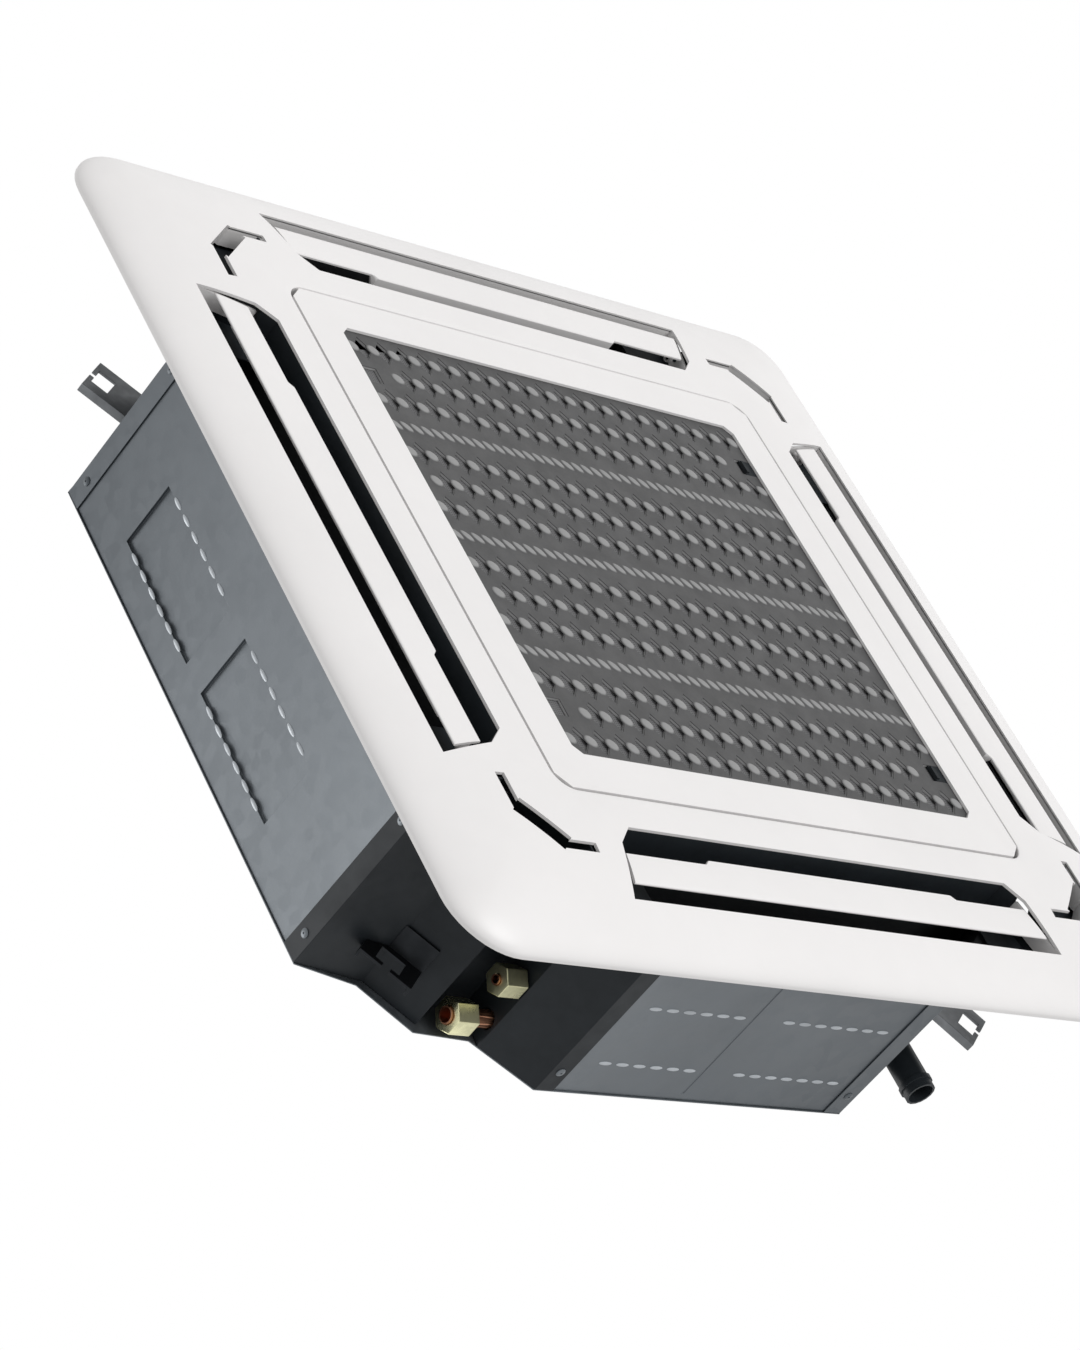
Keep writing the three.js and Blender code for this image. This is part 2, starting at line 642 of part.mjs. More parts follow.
function foamLiner() {
  const gapOutside = COVER_THICKNESS + GAP;
  const outer = inset(innerOutline, gapOutside);
  const inner = inset(innerOutline, gapOutside + FOAM);
  const lidZ = SIDE_TOP - SHEET - GAP - FOAM;
  const lid = cut(prism(outer, lidZ, lidZ + FOAM),
    ...motorBosses.map(([x, y]) => rod([x, y, lidZ - 1], [x, y, lidZ + FOAM + 1], MOUNT_RADIUS + 6)));
  const wall = cut(prism(outer, PAN_BOTTOM, lidZ), prism(inner, PAN_BOTTOM - 1, lidZ + 1));
  const passages = [
    drainHole,
    rod([PIPE_WALL_X - 40, PIPE_Y, GAS_Z], [PIPE_WALL_X + 5, PIPE_Y, GAS_Z], GAS_RADIUS + 2),
    rod([PIPE_WALL_X - 40, PIPE_Y, LIQUID_Z], [PIPE_WALL_X + 5, PIPE_Y, LIQUID_Z], LIQUID_RADIUS + 2),
    pumpPassage(),
    ...knockoutCentres.map((centre) => box(SHEET_INNER - KNOCKOUT_DEPTH - GAP, H,
      centre - KNOCKOUT_WIDTH / 2 - SHEET - GAP, centre + KNOCKOUT_WIDTH / 2 + SHEET + GAP,
      KNOCKOUT_Z - KNOCKOUT_HEIGHT / 2 - SHEET - GAP, KNOCKOUT_Z + KNOCKOUT_HEIGHT / 2 + SHEET + GAP)),
  ];
  return cut(join(lid, wall), ...passages);
}

// The room that the pump's fixing plate needs through the foam.
function pumpPassage() {
  const { out, distance } = cornerFrame(corners.front_right);
  const depth = distance - SHEET;
  const toPump = out[0] * PUMP_X + out[1] * PUMP_Y;
  return placeOnCorner(
    box(0, depth - toPump + 1, -PUMP_RADIUS - 2, PUMP_RADIUS + 2, PUMP_TOP - 42, PUMP_TOP + 2),
    out, [PUMP_X, PUMP_Y]);
}
piece(inside, "foam_liner", foamLiner(), blackFoam);

// ---------------------------------------------------------------- fan, motor and mounts
function fanMotor() {
  const body = revolve([
    [0, MOTOR_BOTTOM], [MOTOR_RADIUS - 14, MOTOR_BOTTOM], [MOTOR_RADIUS, MOTOR_BOTTOM + 12],
    [MOTOR_RADIUS, MOTOR_TOP - 12], [MOTOR_RADIUS - 6, MOTOR_TOP], [0, MOTOR_TOP],
  ], 28);
  const ears = motorBosses.map(([x, y], i) => {
    const ear = join(
      box(0, MOUNT_CIRCLE, -MOUNT_RADIUS, MOUNT_RADIUS, MOTOR_TOP - 4, MOTOR_TOP),
      rod([MOUNT_CIRCLE, 0, MOTOR_TOP - 4], [MOUNT_CIRCLE, 0, MOTOR_TOP], MOUNT_RADIUS),
    );
    return ear.rotate([0, 0, i * 120 + 90]);
  });
  const shaft = rod([0, 0, HUB_Z - 22], [0, 0, MOTOR_BOTTOM + 1], SHAFT_RADIUS);
  return join(body, ...ears, shaft);
}
piece(inside, "fan_motor", fanMotor(), bracketSteel);
motorBosses.forEach(([x, y], i) => {
  const mount = revolve([
    [0, 0], [MOUNT_RADIUS, 0], [MOUNT_RADIUS, 4], [MOUNT_RADIUS - 3, MOUNT_HEIGHT / 2],
    [MOUNT_RADIUS, MOUNT_HEIGHT - 4], [MOUNT_RADIUS, MOUNT_HEIGHT], [0, MOUNT_HEIGHT],
  ], 12).translate([x, y, MOTOR_TOP + GAP]);
  piece(inside, "motor_mount_" + (i + 1), mount, rubber);
});

function turboFan() {
  const backTop = FAN_BACK_Z + FAN_PLATE;
  const hub = revolve([
    [SHAFT_RADIUS + GAP, HUB_Z - 12], [16, HUB_Z - 12], [20, HUB_Z - FAN_PLATE],
    [HUB_RADIUS + 3, HUB_Z - FAN_PLATE], [HUB_RADIUS + 24, FAN_BACK_Z], [FAN_RADIUS, FAN_BACK_Z],
    [FAN_RADIUS, backTop], [HUB_RADIUS + 21, backTop], [HUB_RADIUS, HUB_Z],
    [SHAFT_RADIUS + GAP, HUB_Z], [SHAFT_RADIUS + GAP, HUB_Z - 12],
  ]);
  const shroudLine = [[EYE_RADIUS, 60], [EYE_RADIUS + 3, 74], [EYE_RADIUS + 18, 85], [FAN_RADIUS, 94]];
  const shroud = revolve([
    ...shroudLine,
    ...shroudLine.map(([r, z], i) => [i ? r : r + 2.5, i ? z - 2.5 : z]).reverse(),
    shroudLine[0],
  ]);
  // blades lean back from the direction of turning; each is a thin arc in plan
  const blades = [];
  for (let b = 0; b < BLADES; b++) {
    const side = (offset) => {
      const points = [];
      for (let i = 0; i <= 5; i++) {
        const t = i / 5;
        const r = BLADE_INNER + t * (FAN_RADIUS - 2 - BLADE_INNER);
        const angle = (b * 2 * Math.PI) / BLADES - 0.95 * t - 0.12 * Math.sin(Math.PI * t);
        const slope = Math.atan2(0.95 * r, FAN_RADIUS - BLADE_INNER);
        const nx = Math.sin(angle - slope);
        const ny = -Math.cos(angle - slope);
        points.push([r * Math.cos(angle) + nx * offset, r * Math.sin(angle) + ny * offset]);
      }
      return points;
    };
    const outline = [...side(BLADE_THICKNESS / 2), ...side(-BLADE_THICKNESS / 2).reverse()];
    blades.push(prism(outline, 62, FAN_BACK_Z + FAN_PLATE / 2));
  }
  const below = revolve([
    [0, 50], [FAN_RADIUS + 10, 50], [FAN_RADIUS + 10, 92.5], [FAN_RADIUS, 92.5],
    [EYE_RADIUS + 18, 83.5], [EYE_RADIUS + 4, 73], [EYE_RADIUS + 1, 70], [EYE_RADIUS - 4, 72],
    [0, 88],
  ]);
  const bladeSet = blades.map((blade) => blade.subtract(below));
  return join(hub, shroud, ...bladeSet);
}
piece(inside, "turbo_fan", turboFan(), fanPlastic);
const shaftNut = cut(
  rod([0, 0, HUB_Z - 12 - GAP - 7], [0, 0, HUB_Z - 12 - GAP], 11, 6),
  rod([0, 0, HUB_Z - 30], [0, 0, HUB_Z], SHAFT_RADIUS + GAP),
);
piece(inside, "shaft_nut", shaftNut, galvanised);

// ---------------------------------------------------------------- evaporator coil
const COIL_BOTTOM = PAN_TROUGH_Z + GAP;
function coilBlock(inner, outer, z0, z1) {
  const ring = cut(
    prism(roundSquare(outer, COIL_BEND), z0, z1),
    prism(roundSquare(inner, COIL_BEND - COIL_DEPTH), z0 - 1, z1 + 1),
  );
  return cut(ring, box(COIL_OPEN, outer + 1, -outer - 1, -COIL_OPEN, z0 - 2, z1 + 2));
}
function evaporatorCoil() {
  let coil = coilBlock(COIL_HALF - COIL_DEPTH, COIL_HALF, COIL_BOTTOM, COIL_BOTTOM + COIL_HEIGHT);
  // fin stacks: shallow upright grooves in the straight outer faces
  const reach = COIL_HALF - COIL_BEND;
  const grooves = [];
  for (let side = 0; side < 4; side++) {
    for (let s = -reach + FIN_PITCH; s < reach - FIN_PITCH / 2; s += FIN_PITCH) {
      const open = (side === 0 && s < -COIL_OPEN + FIN_PITCH) || (side === 3 && s > COIL_OPEN - FIN_PITCH);
      if (open) continue;
      grooves.push(turnZ(box(COIL_HALF - 3, COIL_HALF + 1, s - 2, s + 2,
        COIL_BOTTOM + 4, COIL_BOTTOM + COIL_HEIGHT - 4), side));
    }
  }
  for (const groove of grooves) coil = coil.subtract(groove);
  return coil;
}
piece(inside, "evaporator_coil", evaporatorCoil(), finAluminium);

// End plates stand at the coil's two ends and carry rows of hairpin bends.
const END_PLATE = 2;
const HAIRPINS = 4;
function endPlate() {
  // built for the end that faces +X on the front run, the coil's run lying along X
  const x = COIL_OPEN + GAP;
  const plate = box(x, x + END_PLATE, -COIL_HALF - 3, -COIL_HALF + COIL_DEPTH + 3,
    COIL_BOTTOM, COIL_BOTTOM + COIL_HEIGHT + 3);
  const bends = [];
  for (let i = 0; i < HAIRPINS; i++) {
    const z = COIL_BOTTOM + 16 + i * ((COIL_HEIGHT - 32) / (HAIRPINS - 1));
    bends.push(bentRod([
      [x + 1, -COIL_HALF + 9, z - 5], [x + 12, -COIL_HALF + 12, z - 3], [x + 17, -COIL_HALF + COIL_DEPTH / 2, z],
      [x + 12, -COIL_HALF + COIL_DEPTH - 12, z + 3], [x + 1, -COIL_HALF + COIL_DEPTH - 9, z + 5],
    ], 3.6, 3, 6));
  }
  return join(plate, ...bends);
}
const frontEndPlate = endPlate();
// the other end is the mirror image in the corner's diagonal
const leftEndPlate = frontEndPlate.mirror([1, 1, 0]);
piece(inside, "coil_end_plate_front", frontEndPlate, galvanised);
piece(inside, "coil_end_plate_left", leftEndPlate, galvanised);

// ---------------------------------------------------------------- pipes and flare nuts
// Each pipe leaves a header beside the front end plate and comes out through the cover's wall.
function connectionPipe(radius, x, z, nutStart) {
  const startX = COIL_OPEN + GAP + END_PLATE + GAP;
  const y = -COIL_HALF - 3 + 14;
  const bend = bentRod([
    [startX + 24, y - 2, z], [startX + 26, y - 30, z], [startX + 26, PIPE_Y + 40, z],
    [startX + 34, PIPE_Y + 6, z], [PIPE_WALL_X - 24, PIPE_Y, z], [PIPE_WALL_X - 12, PIPE_Y, z],
  ], radius, 5, 14);
  const straight = rod([PIPE_WALL_X - 16, PIPE_Y, z], [nutStart + NUT_LENGTH + 2, PIPE_Y, z], radius, 16);
  const bore = rod([nutStart + 4, PIPE_Y, z], [nutStart + NUT_LENGTH + 3, PIPE_Y, z], radius - 1.2, 16);
  return cut(join(bend, straight), bore);
}
const gasNutStart = GAS_X - NUT_LENGTH / 2;
const liquidNutStart = LIQUID_X - NUT_LENGTH / 2;
const headerBox = (z0, z1) => box(COIL_OPEN + GAP + END_PLATE + GAP + 18, COIL_OPEN + GAP + END_PLATE + GAP + 30,
  -COIL_HALF - 3, -COIL_HALF + 18, z0, z1);
piece(inside, "gas_pipe",
  join(connectionPipe(GAS_RADIUS, GAS_X, GAS_Z, gasNutStart), headerBox(GAS_Z - 30, GAS_Z + 8)), copper);
piece(inside, "liquid_pipe",
  join(connectionPipe(LIQUID_RADIUS, LIQUID_X, LIQUID_Z, liquidNutStart), headerBox(LIQUID_Z - 30, LIQUID_Z + 8)),
  copper);
const placeNut = (nut, start, z) => nut.translate([start, PIPE_Y, z]);
piece(casing, "gas_flare_nut",
  placeNut(hexNut(GAS_NUT, NUT_LENGTH, GAS_RADIUS + GAP), gasNutStart, GAS_Z), brass);
piece(casing, "liquid_flare_nut",
  placeNut(hexNut(LIQUID_NUT, NUT_LENGTH, LIQUID_RADIUS + GAP), liquidNutStart, LIQUID_Z), brass);

// ---------------------------------------------------------------- drain pan and bellmouth
function drainPan() {
  const block = prism(cutSquare(PAN_OUTER_HALF, 36), PAN_BOTTOM, PAN_RIM_Z);
  const trough = cut(
    prism(cutSquare(PAN_OUTER_HALF - PAN_WALL, 34), PAN_TROUGH_Z, PAN_RIM_Z + 1),
    prism(cutSquare(PAN_INNER_HALF + PAN_WALL, 13), PAN_TROUGH_Z - 1, PAN_RIM_Z + 2),
  );
  const opening = box(-PAN_INNER_HALF, PAN_INNER_HALF, -PAN_INNER_HALF, PAN_INNER_HALF,
    PAN_BOTTOM - 1, PAN_RIM_Z + 1);
  // the corners stay clear of the casing's foam
  const room = prism(inset(innerOutline, COVER_THICKNESS + FOAM + 3), PAN_BOTTOM - 2, PAN_RIM_Z + 2);
  return cut(block, trough, opening).intersect(room);
}
piece(inside, "drain_pan", drainPan(), blackFoam);

function bellmouth() {
  const wallHalf = PAN_INNER_HALF - GAP;
  const flangeTop = PAN_BOTTOM - GAP;
  const flangeBottom = flangeTop - BELL_WALL;
  const tray = cut(
    join(
      prism(roundSquare(BELL_FLANGE_HALF, 64), flangeBottom, flangeTop),
      box(-wallHalf, wallHalf, -wallHalf, wallHalf, flangeBottom, BELL_PLATE_Z + BELL_WALL),
    ),
    box(-wallHalf + BELL_WALL, wallHalf - BELL_WALL, -wallHalf + BELL_WALL, wallHalf - BELL_WALL,
      flangeBottom - 1, BELL_PLATE_Z),
  );
  const mouth = THROAT_RADIUS + 34;
  const hole = rod([0, 0, BELL_PLATE_Z - 1], [0, 0, BELL_PLATE_Z + BELL_WALL + 1], mouth - 1, 36);
  const line = [];
  for (let i = 0; i <= 4; i++) {
    const angle = (i / 4) * (Math.PI / 2);
    line.push([mouth - 34 * Math.sin(angle), BELL_PLATE_Z + 22 * (1 - Math.cos(angle))]);
  }
  line.push([THROAT_RADIUS, THROAT_TOP]);
  const throat = revolve([
    ...line,
    ...line.map(([r, z], i) => (i === 0 ? [r, z + BELL_WALL] : [r + BELL_WALL * 0.9, z + (i < 5 ? 1.2 : 0)])).reverse(),
    line[0],
  ]);
  return join(cut(tray, hole), throat);
}
piece(inside, "bellmouth", bellmouth(), blackPlastic);

// ---------------------------------------------------------------- drain pump, float switch, hose and stub
function drainPump() {
  const cupTop = 72;
  const body = revolve([
    [0, cupTop], [PUMP_RADIUS - 4, cupTop], [PUMP_RADIUS - 4, cupTop + 20], [PUMP_RADIUS, cupTop + 22],
    [PUMP_RADIUS, PUMP_TOP - 4], [PUMP_RADIUS - 4, PUMP_TOP], [0, PUMP_TOP],
  ], 20);
  const cup = cut(
    rod([0, 0, PAN_TROUGH_Z + 6], [0, 0, cupTop + 1], IMPELLER_RADIUS + 4),
    rod([0, 0, PAN_TROUGH_Z + 5], [0, 0, cupTop], IMPELLER_RADIUS + 2),
  );
  const { out, distance } = cornerFrame(corners.front_right);
  const toPump = out[0] * PUMP_X + out[1] * PUMP_Y;
  const reach = distance - SHEET - GAP - toPump;
  const degrees = (Math.atan2(out[1], out[0]) * 180) / Math.PI;
  const arm = join(
    box(0, reach, -PUMP_RADIUS + 6, PUMP_RADIUS - 6, PUMP_TOP - 26, PUMP_TOP - 20),
    box(reach - 3, reach, -PUMP_RADIUS + 3, PUMP_RADIUS - 3, PUMP_TOP - 38, PUMP_TOP - 2),
  ).rotate([0, 0, degrees]);
  const nozzle = rod([0, 0, cupTop + 10], [PUMP_RADIUS + 10, 0, cupTop + 10], 6, 16).rotate([0, 0, 160]);
  return join(body, cup, arm, nozzle).translate([PUMP_X, PUMP_Y, 0]);
}
piece(inside, "drain_pump", drainPump(), blackPlastic);

function pumpImpeller() {
  const blades = [0, 1].map((i) =>
    turnZ(box(-IMPELLER_RADIUS, IMPELLER_RADIUS, -1, 1, PAN_TROUGH_Z + 10, PAN_TROUGH_Z + 30), i));
  const spindle = rod([0, 0, PAN_TROUGH_Z + 10], [0, 0, 72 - GAP], 2.5, 12);
  return join(...blades, spindle).translate([PUMP_X, PUMP_Y, 0]);
}
piece(inside, "pump_impeller", pumpImpeller(), panelPlastic);

// The float slides on a stem that hangs from a bracket on the pan's rim.
function floatSwitch() {
  const stem = rod([FLOAT_X, FLOAT_Y, PAN_TROUGH_Z + 4], [FLOAT_X, FLOAT_Y, 70], 3, 12);
  const stop = rod([FLOAT_X, FLOAT_Y, PAN_TROUGH_Z + 4], [FLOAT_X, FLOAT_Y, PAN_TROUGH_Z + 6], 6, 16);
  const head = rod([FLOAT_X, FLOAT_Y, 56 + GAP], [FLOAT_X, FLOAT_Y, 70], 9, 20);
  const ledge = box(FLOAT_X - 18, FLOAT_X, FLOAT_Y - 7, FLOAT_Y + 7, PAN_RIM_Z + GAP, PAN_RIM_Z + 4);
  return join(stem, stop, head, ledge);
}
piece(inside, "float_switch", floatSwitch(), panelPlastic);
const FLOAT_BOTTOM = PAN_TROUGH_Z + 6 + GAP;
const floatRing = cut(
  rod([FLOAT_X, FLOAT_Y, FLOAT_BOTTOM], [FLOAT_X, FLOAT_Y, 56 - FLOAT_TRAVEL - GAP], 5.6, 20),
  rod([FLOAT_X, FLOAT_Y, PAN_TROUGH_Z], [FLOAT_X, FLOAT_Y, 60], 3 + PIN_CLEARANCE, 12),
);
piece(inside, "float", floatRing, blackPlastic);

function drainStub() {
  const { out, distance } = cornerFrame(corners.front_right);
  const wallY = (distance - out[0] * DRAIN_X) / out[1];
  const back = wallY + 22;
  const tube = join(
    rod([DRAIN_X, DRAIN_TIP_Y, DRAIN_Z], [DRAIN_X, back, DRAIN_Z], DRAIN_RADIUS),
    rod([DRAIN_X, DRAIN_TIP_Y + 8, DRAIN_Z], [DRAIN_X, DRAIN_TIP_Y + 13, DRAIN_Z], DRAIN_RADIUS + 1.5),
  );
  return cut(tube, rod([DRAIN_X, DRAIN_TIP_Y - 1, DRAIN_Z], [DRAIN_X, back - 4, DRAIN_Z], DRAIN_BORE));
}
piece(casing, "drain_stub", drainStub(), blackPlastic);

function drainHose() {
  const { out, distance } = cornerFrame(corners.front_right);
  const back = (distance - out[0] * DRAIN_X) / out[1] + 22 + GAP;
  const nozzleAngle = (160 * Math.PI) / 180;
  const tip = PUMP_RADIUS + 10 + GAP;
  const start = [PUMP_X + tip * Math.cos(nozzleAngle), PUMP_Y + tip * Math.sin(nozzleAngle), 82];
  const ahead = [start[0] + 12 * Math.cos(nozzleAngle), start[1] + 12 * Math.sin(nozzleAngle), 82];
  return bentRod([
    start, ahead, [ahead[0] - 2, ahead[1] + 6, 100], [ahead[0] + 12, ahead[1] + 12, 150],
    [PUMP_X + 6, PUMP_Y - 6, 160], [DRAIN_X, back + 16, DRAIN_Z], [DRAIN_X, back + 8, DRAIN_Z],
    [DRAIN_X, back, DRAIN_Z],
  ], 7, 4, 24);
}
piece(inside, "drain_hose", drainHose(), rubber);

// ---------------------------------------------------------------- control box
const BOX_TOP = BELL_PLATE_Z - GAP;
function controlBox() {
  const outer = box(BOX_INNER_X, BOX_INNER_X + BOX_WIDTH, -BOX_LENGTH / 2, BOX_LENGTH / 2,
    BOX_TOP - BOX_HEIGHT, BOX_TOP);
  const hollow = box(BOX_INNER_X + BOX_SHEET, BOX_INNER_X + BOX_WIDTH - BOX_SHEET,
    -BOX_LENGTH / 2 + BOX_SHEET, BOX_LENGTH / 2 - BOX_SHEET, BOX_TOP - BOX_HEIGHT - 1, BOX_TOP - BOX_SHEET);
  const posts = [-1, 1].map((side) => rod(
    [BOX_INNER_X + BOX_WIDTH / 2, side * (BOX_LENGTH / 2 - 16), BOX_TOP - 10],
    [BOX_INNER_X + BOX_WIDTH / 2, side * (BOX_LENGTH / 2 - 16), BOX_TOP - BOX_SHEET / 2], 4, 12));
  return join(cut(outer, hollow), ...posts);
}
piece(inside, "control_box", controlBox(), galvanised);
function controlBoard() {
  const top = BOX_TOP - 10 - GAP;
  const x0 = BOX_INNER_X + BOX_SHEET + 1.5;
  const x1 = BOX_INNER_X + BOX_WIDTH - BOX_SHEET - 1.5;
  const y = BOX_LENGTH / 2 - BOX_SHEET - 2;
  const board = box(x0, x1, -y, y, top - 1.6, top);
  const parts = [
    box(x0 + 5, x0 + 31, -98, -66, top - 16, top - 1),
    rod([x0 + 14, -40, top - 20], [x0 + 14, -40, top - 1], 9, 16),
    rod([x0 + 14, -16, top - 20], [x0 + 14, -16, top - 1], 9, 16),
    box(x0 + 6, x0 + 34, 10, 34, top - 12, top - 1),
    box(x0 + 8, x0 + 20, 52, 108, top - 14, top - 1),
  ];
  return join(board, ...parts);
}
piece(inside, "control_board", controlBoard(), boardGreen);
function controlBoxCover() {
  const bottom = BOX_TOP - BOX_HEIGHT - GAP;
  return box(BOX_INNER_X - 4, BOX_INNER_X + BOX_WIDTH, -BOX_LENGTH / 2 - 4, BOX_LENGTH / 2 + 4,
    bottom - BOX_SHEET, bottom);
}
piece(inside, "control_box_cover", controlBoxCover(), galvanised);

// ---------------------------------------------------------------- panel
// Height of the domed border at a distance from the centre line: flat at the grille, then falling
// away faster and faster to the rim.
function domeZ(r) {
  const t = Math.min(1, Math.max(0, (r - GRILLE_OPENING) / DOME_SPAN));
  return -PANEL_RIM - (PANEL_DROP - PANEL_RIM) * (1 - t ** 2.6) ** 0.55;
}
const domeStations = [0, 0.25, 0.42, 0.56, 0.68, 0.78, 0.86, 0.925, 0.97, 1];

function cornerRadiusAt(half) {
  return Math.max(12, PANEL_CORNER - (PANEL_HALF - half));
}

function domeSolid(thickness, top) {
  // the inner skin is the outer profile moved along its own normals
  const rings = domeStations.map((t) => {
    const r = GRILLE_OPENING + t * DOME_SPAN;
    const slope = (domeZ(Math.min(r + 0.5, PANEL_HALF)) - domeZ(r - 0.5));
    const bend = Math.atan(Math.min(slope, 3));
    return { r: r - thickness * Math.sin(bend), z: domeZ(r) + thickness * Math.cos(bend) };
  });
  rings.push({ r: PANEL_HALF - thickness, z: top });
  let lastZ = -Infinity;
  return skin(rings.map(({ r, z }) => {
    lastZ = Math.max(z, lastZ + 0.05);
    return { points: roundSquare(r, cornerRadiusAt(r), 4), z: lastZ };
  }));
}

// The plan of one long outlet on the +X side.
const slotOutline = [
  [SLOT_INNER, -SLOT_LENGTH_INNER], [SLOT_SHOULDER, -SLOT_LENGTH_SHOULDER],
  [SLOT_OUTER, -SLOT_LENGTH_OUTER], [SLOT_OUTER, SLOT_LENGTH_OUTER],
  [SLOT_SHOULDER, SLOT_LENGTH_SHOULDER], [SLOT_INNER, SLOT_LENGTH_INNER],
];

// The plan of one corner outlet at +X +Y: a wide diagonal between two narrow legs.
function cornerOutletPlan(extra) {
  const half = CORNER_LEG_WIDTH / 2 + extra;
  const wide = CORNER_SLOT_WIDTH / 2 + extra;
  const diagonal = Math.SQRT1_2;
  const c = CORNER_SLOT;
  const bend = CORNER_BEND;
  const end = CORNER_LEG_END - extra;
  const leg = [[c - half, end], [c + half, end], [c + half, bend + half], [c - half, bend - half]];
  const along = [[c, bend], [bend, c]];
  const push = (point, sign) => [point[0] + sign * wide * diagonal, point[1] + sign * wide * diagonal];
  const band = [push(along[0], -1), push(along[0], 1), push(along[1], 1), push(along[1], -1)];
  const mirrored = leg.map(([x, y]) => [y, x]).reverse();
  return { leg, band, mirrored };
}
function cornerOutlet(extra, z0, z1) {
  const { leg, band, mirrored } = cornerOutletPlan(extra);
  return join(prism(leg, z0, z1), prism(band, z0, z1), prism(mirrored, z0, z1));
}

function slotEndWall(side) {
  const wall = PANEL_WALL;
  const a = [SLOT_SHOULDER - 6, side * (SLOT_LENGTH_SHOULDER - 1.5)];
  const b = [SLOT_OUTER + wall, side * (SLOT_LENGTH_OUTER + 0.8)];
  const outline = side > 0
    ? [a, b, [b[0], b[1] + wall], [a[0], a[1] + wall]]
    : [[a[0], a[1] - wall], [b[0], b[1] - wall], b, a];
  return outline;
}

const slotEndAt = (r) => SLOT_LENGTH_SHOULDER
  + ((r - SLOT_SHOULDER) / (SLOT_OUTER - SLOT_SHOULDER)) * (SLOT_LENGTH_OUTER - SLOT_LENGTH_SHOULDER);

function panelFrame() {
  const hollow = domeSolid(PANEL_WALL, 1);
  const outer = domeSolid(0, 0);
  let frame = cut(outer, hollow);
  // lip along the rim that lies on the ceiling
  const lip = cut(
    prism(roundSquare(PANEL_HALF, PANEL_CORNER), -PANEL_RIM, 0),
    prism(roundSquare(PANEL_HALF - RIM_LIP, PANEL_CORNER - RIM_LIP), -PANEL_RIM - 1, 1),
  );
  // wall round the grille's opening, up to the bellmouth's flange
  const curbTop = PAN_BOTTOM - GAP - BELL_WALL - GAP;
  const curb = cut(
    prism(cutSquare(GRILLE_OPENING + PANEL_WALL, OPENING_CORNER), FACE_Z + 1, curbTop),
    prism(cutSquare(GRILLE_OPENING, OPENING_CORNER), FACE_Z - 1, curbTop + 1),
  );
  frame = join(frame, lip, curb);
  frame = cut(frame, prism(cutSquare(GRILLE_OPENING, OPENING_CORNER), FACE_Z - 5, FACE_Z + 10));
  const wallTop = CASING_BOTTOM - GAP;
  for (let i = 0; i < 4; i++) {
    const walls = [
      box(SLOT_OUTER, SLOT_OUTER + PANEL_WALL, -SLOT_LENGTH_OUTER - 4, SLOT_LENGTH_OUTER + 4, -32, wallTop),
      prism(slotEndWall(1), -34, SLOT_WALL_TOP),
      prism(slotEndWall(-1), -34, SLOT_WALL_TOP),
    ].map((wall) => wall.intersect(join(hollow, outer)));
    const pins = rod([PIVOT_R, -slotEndAt(PIVOT_R) - 1, PIVOT_Z],
      [PIVOT_R, -slotEndAt(PIVOT_R) + 10, PIVOT_Z], PIN_RADIUS, 12);
    const shaftHole = rod([PIVOT_R, slotEndAt(PIVOT_R) - 6, PIVOT_Z],
      [PIVOT_R, slotEndAt(PIVOT_R) + 9, PIVOT_Z], PIN_RADIUS + 1, 12);
    frame = cut(frame, turnZ(prism(slotOutline, FACE_Z - 5, 5), i));
    frame = join(frame, ...walls.map((wall) => turnZ(wall, i)), turnZ(pins, i));
    frame = cut(frame, turnZ(shaftHole, i));
    // outer wall of the corner outlet, then the outlet itself
    const { band } = cornerOutletPlan(0);
    const lipWall = prism([
      band[1], [band[1][0] + 2, band[1][1] + 2], [band[2][0] + 2, band[2][1] + 2], band[2],
    ], -34, -12).intersect(outer);
    frame = join(cut(frame, turnZ(cornerOutlet(0, FACE_Z - 5, -20), i)), turnZ(lipWall, i));
  }
  // On the +X side, hooks reach over the grille's edge and down to the hinge pins; on the -X side
  // the wall has a window for each latch.
  const armZ = HINGE_Z + GRILLE_HALF - HINGE_X + 2;
  const hook = PIN_RADIUS + 0.6;
  for (const side of [-1, 1]) {
    const y = side * HINGE_Y;
    const lugY = y + side * HINGE_ROOM;
    const parts = [
      box(HINGE_X - hook, GRILLE_OPENING + 1, lugY - 1.5, lugY + 1.5, armZ, armZ + 3),
      box(HINGE_X - hook, HINGE_X + hook - GAP, lugY - 1.5, lugY + 1.5, HINGE_Z, armZ + 3),
      rod([HINGE_X, lugY - 1.5, HINGE_Z], [HINGE_X, lugY + 1.5, HINGE_Z], hook, 16),
      rod([HINGE_X, y - side * 6, HINGE_Z], [HINGE_X, lugY, HINGE_Z], PIN_RADIUS, 16),
    ];
    const half = LATCH_WIDTH / 2 + GAP;
    const windowY = side * LATCH_Y;
    frame = cut(join(frame, ...parts), box(-GRILLE_OPENING - PANEL_WALL - 3, -GRILLE_OPENING + 1,
      windowY - half, windowY + half, LATTICE_BOTTOM - GAP / 2, LATTICE_TOP + GAP));
  }
  return frame;
}
const panelSolid = panelFrame();
piece(panel, "panel_frame", panelSolid, panelPlastic);

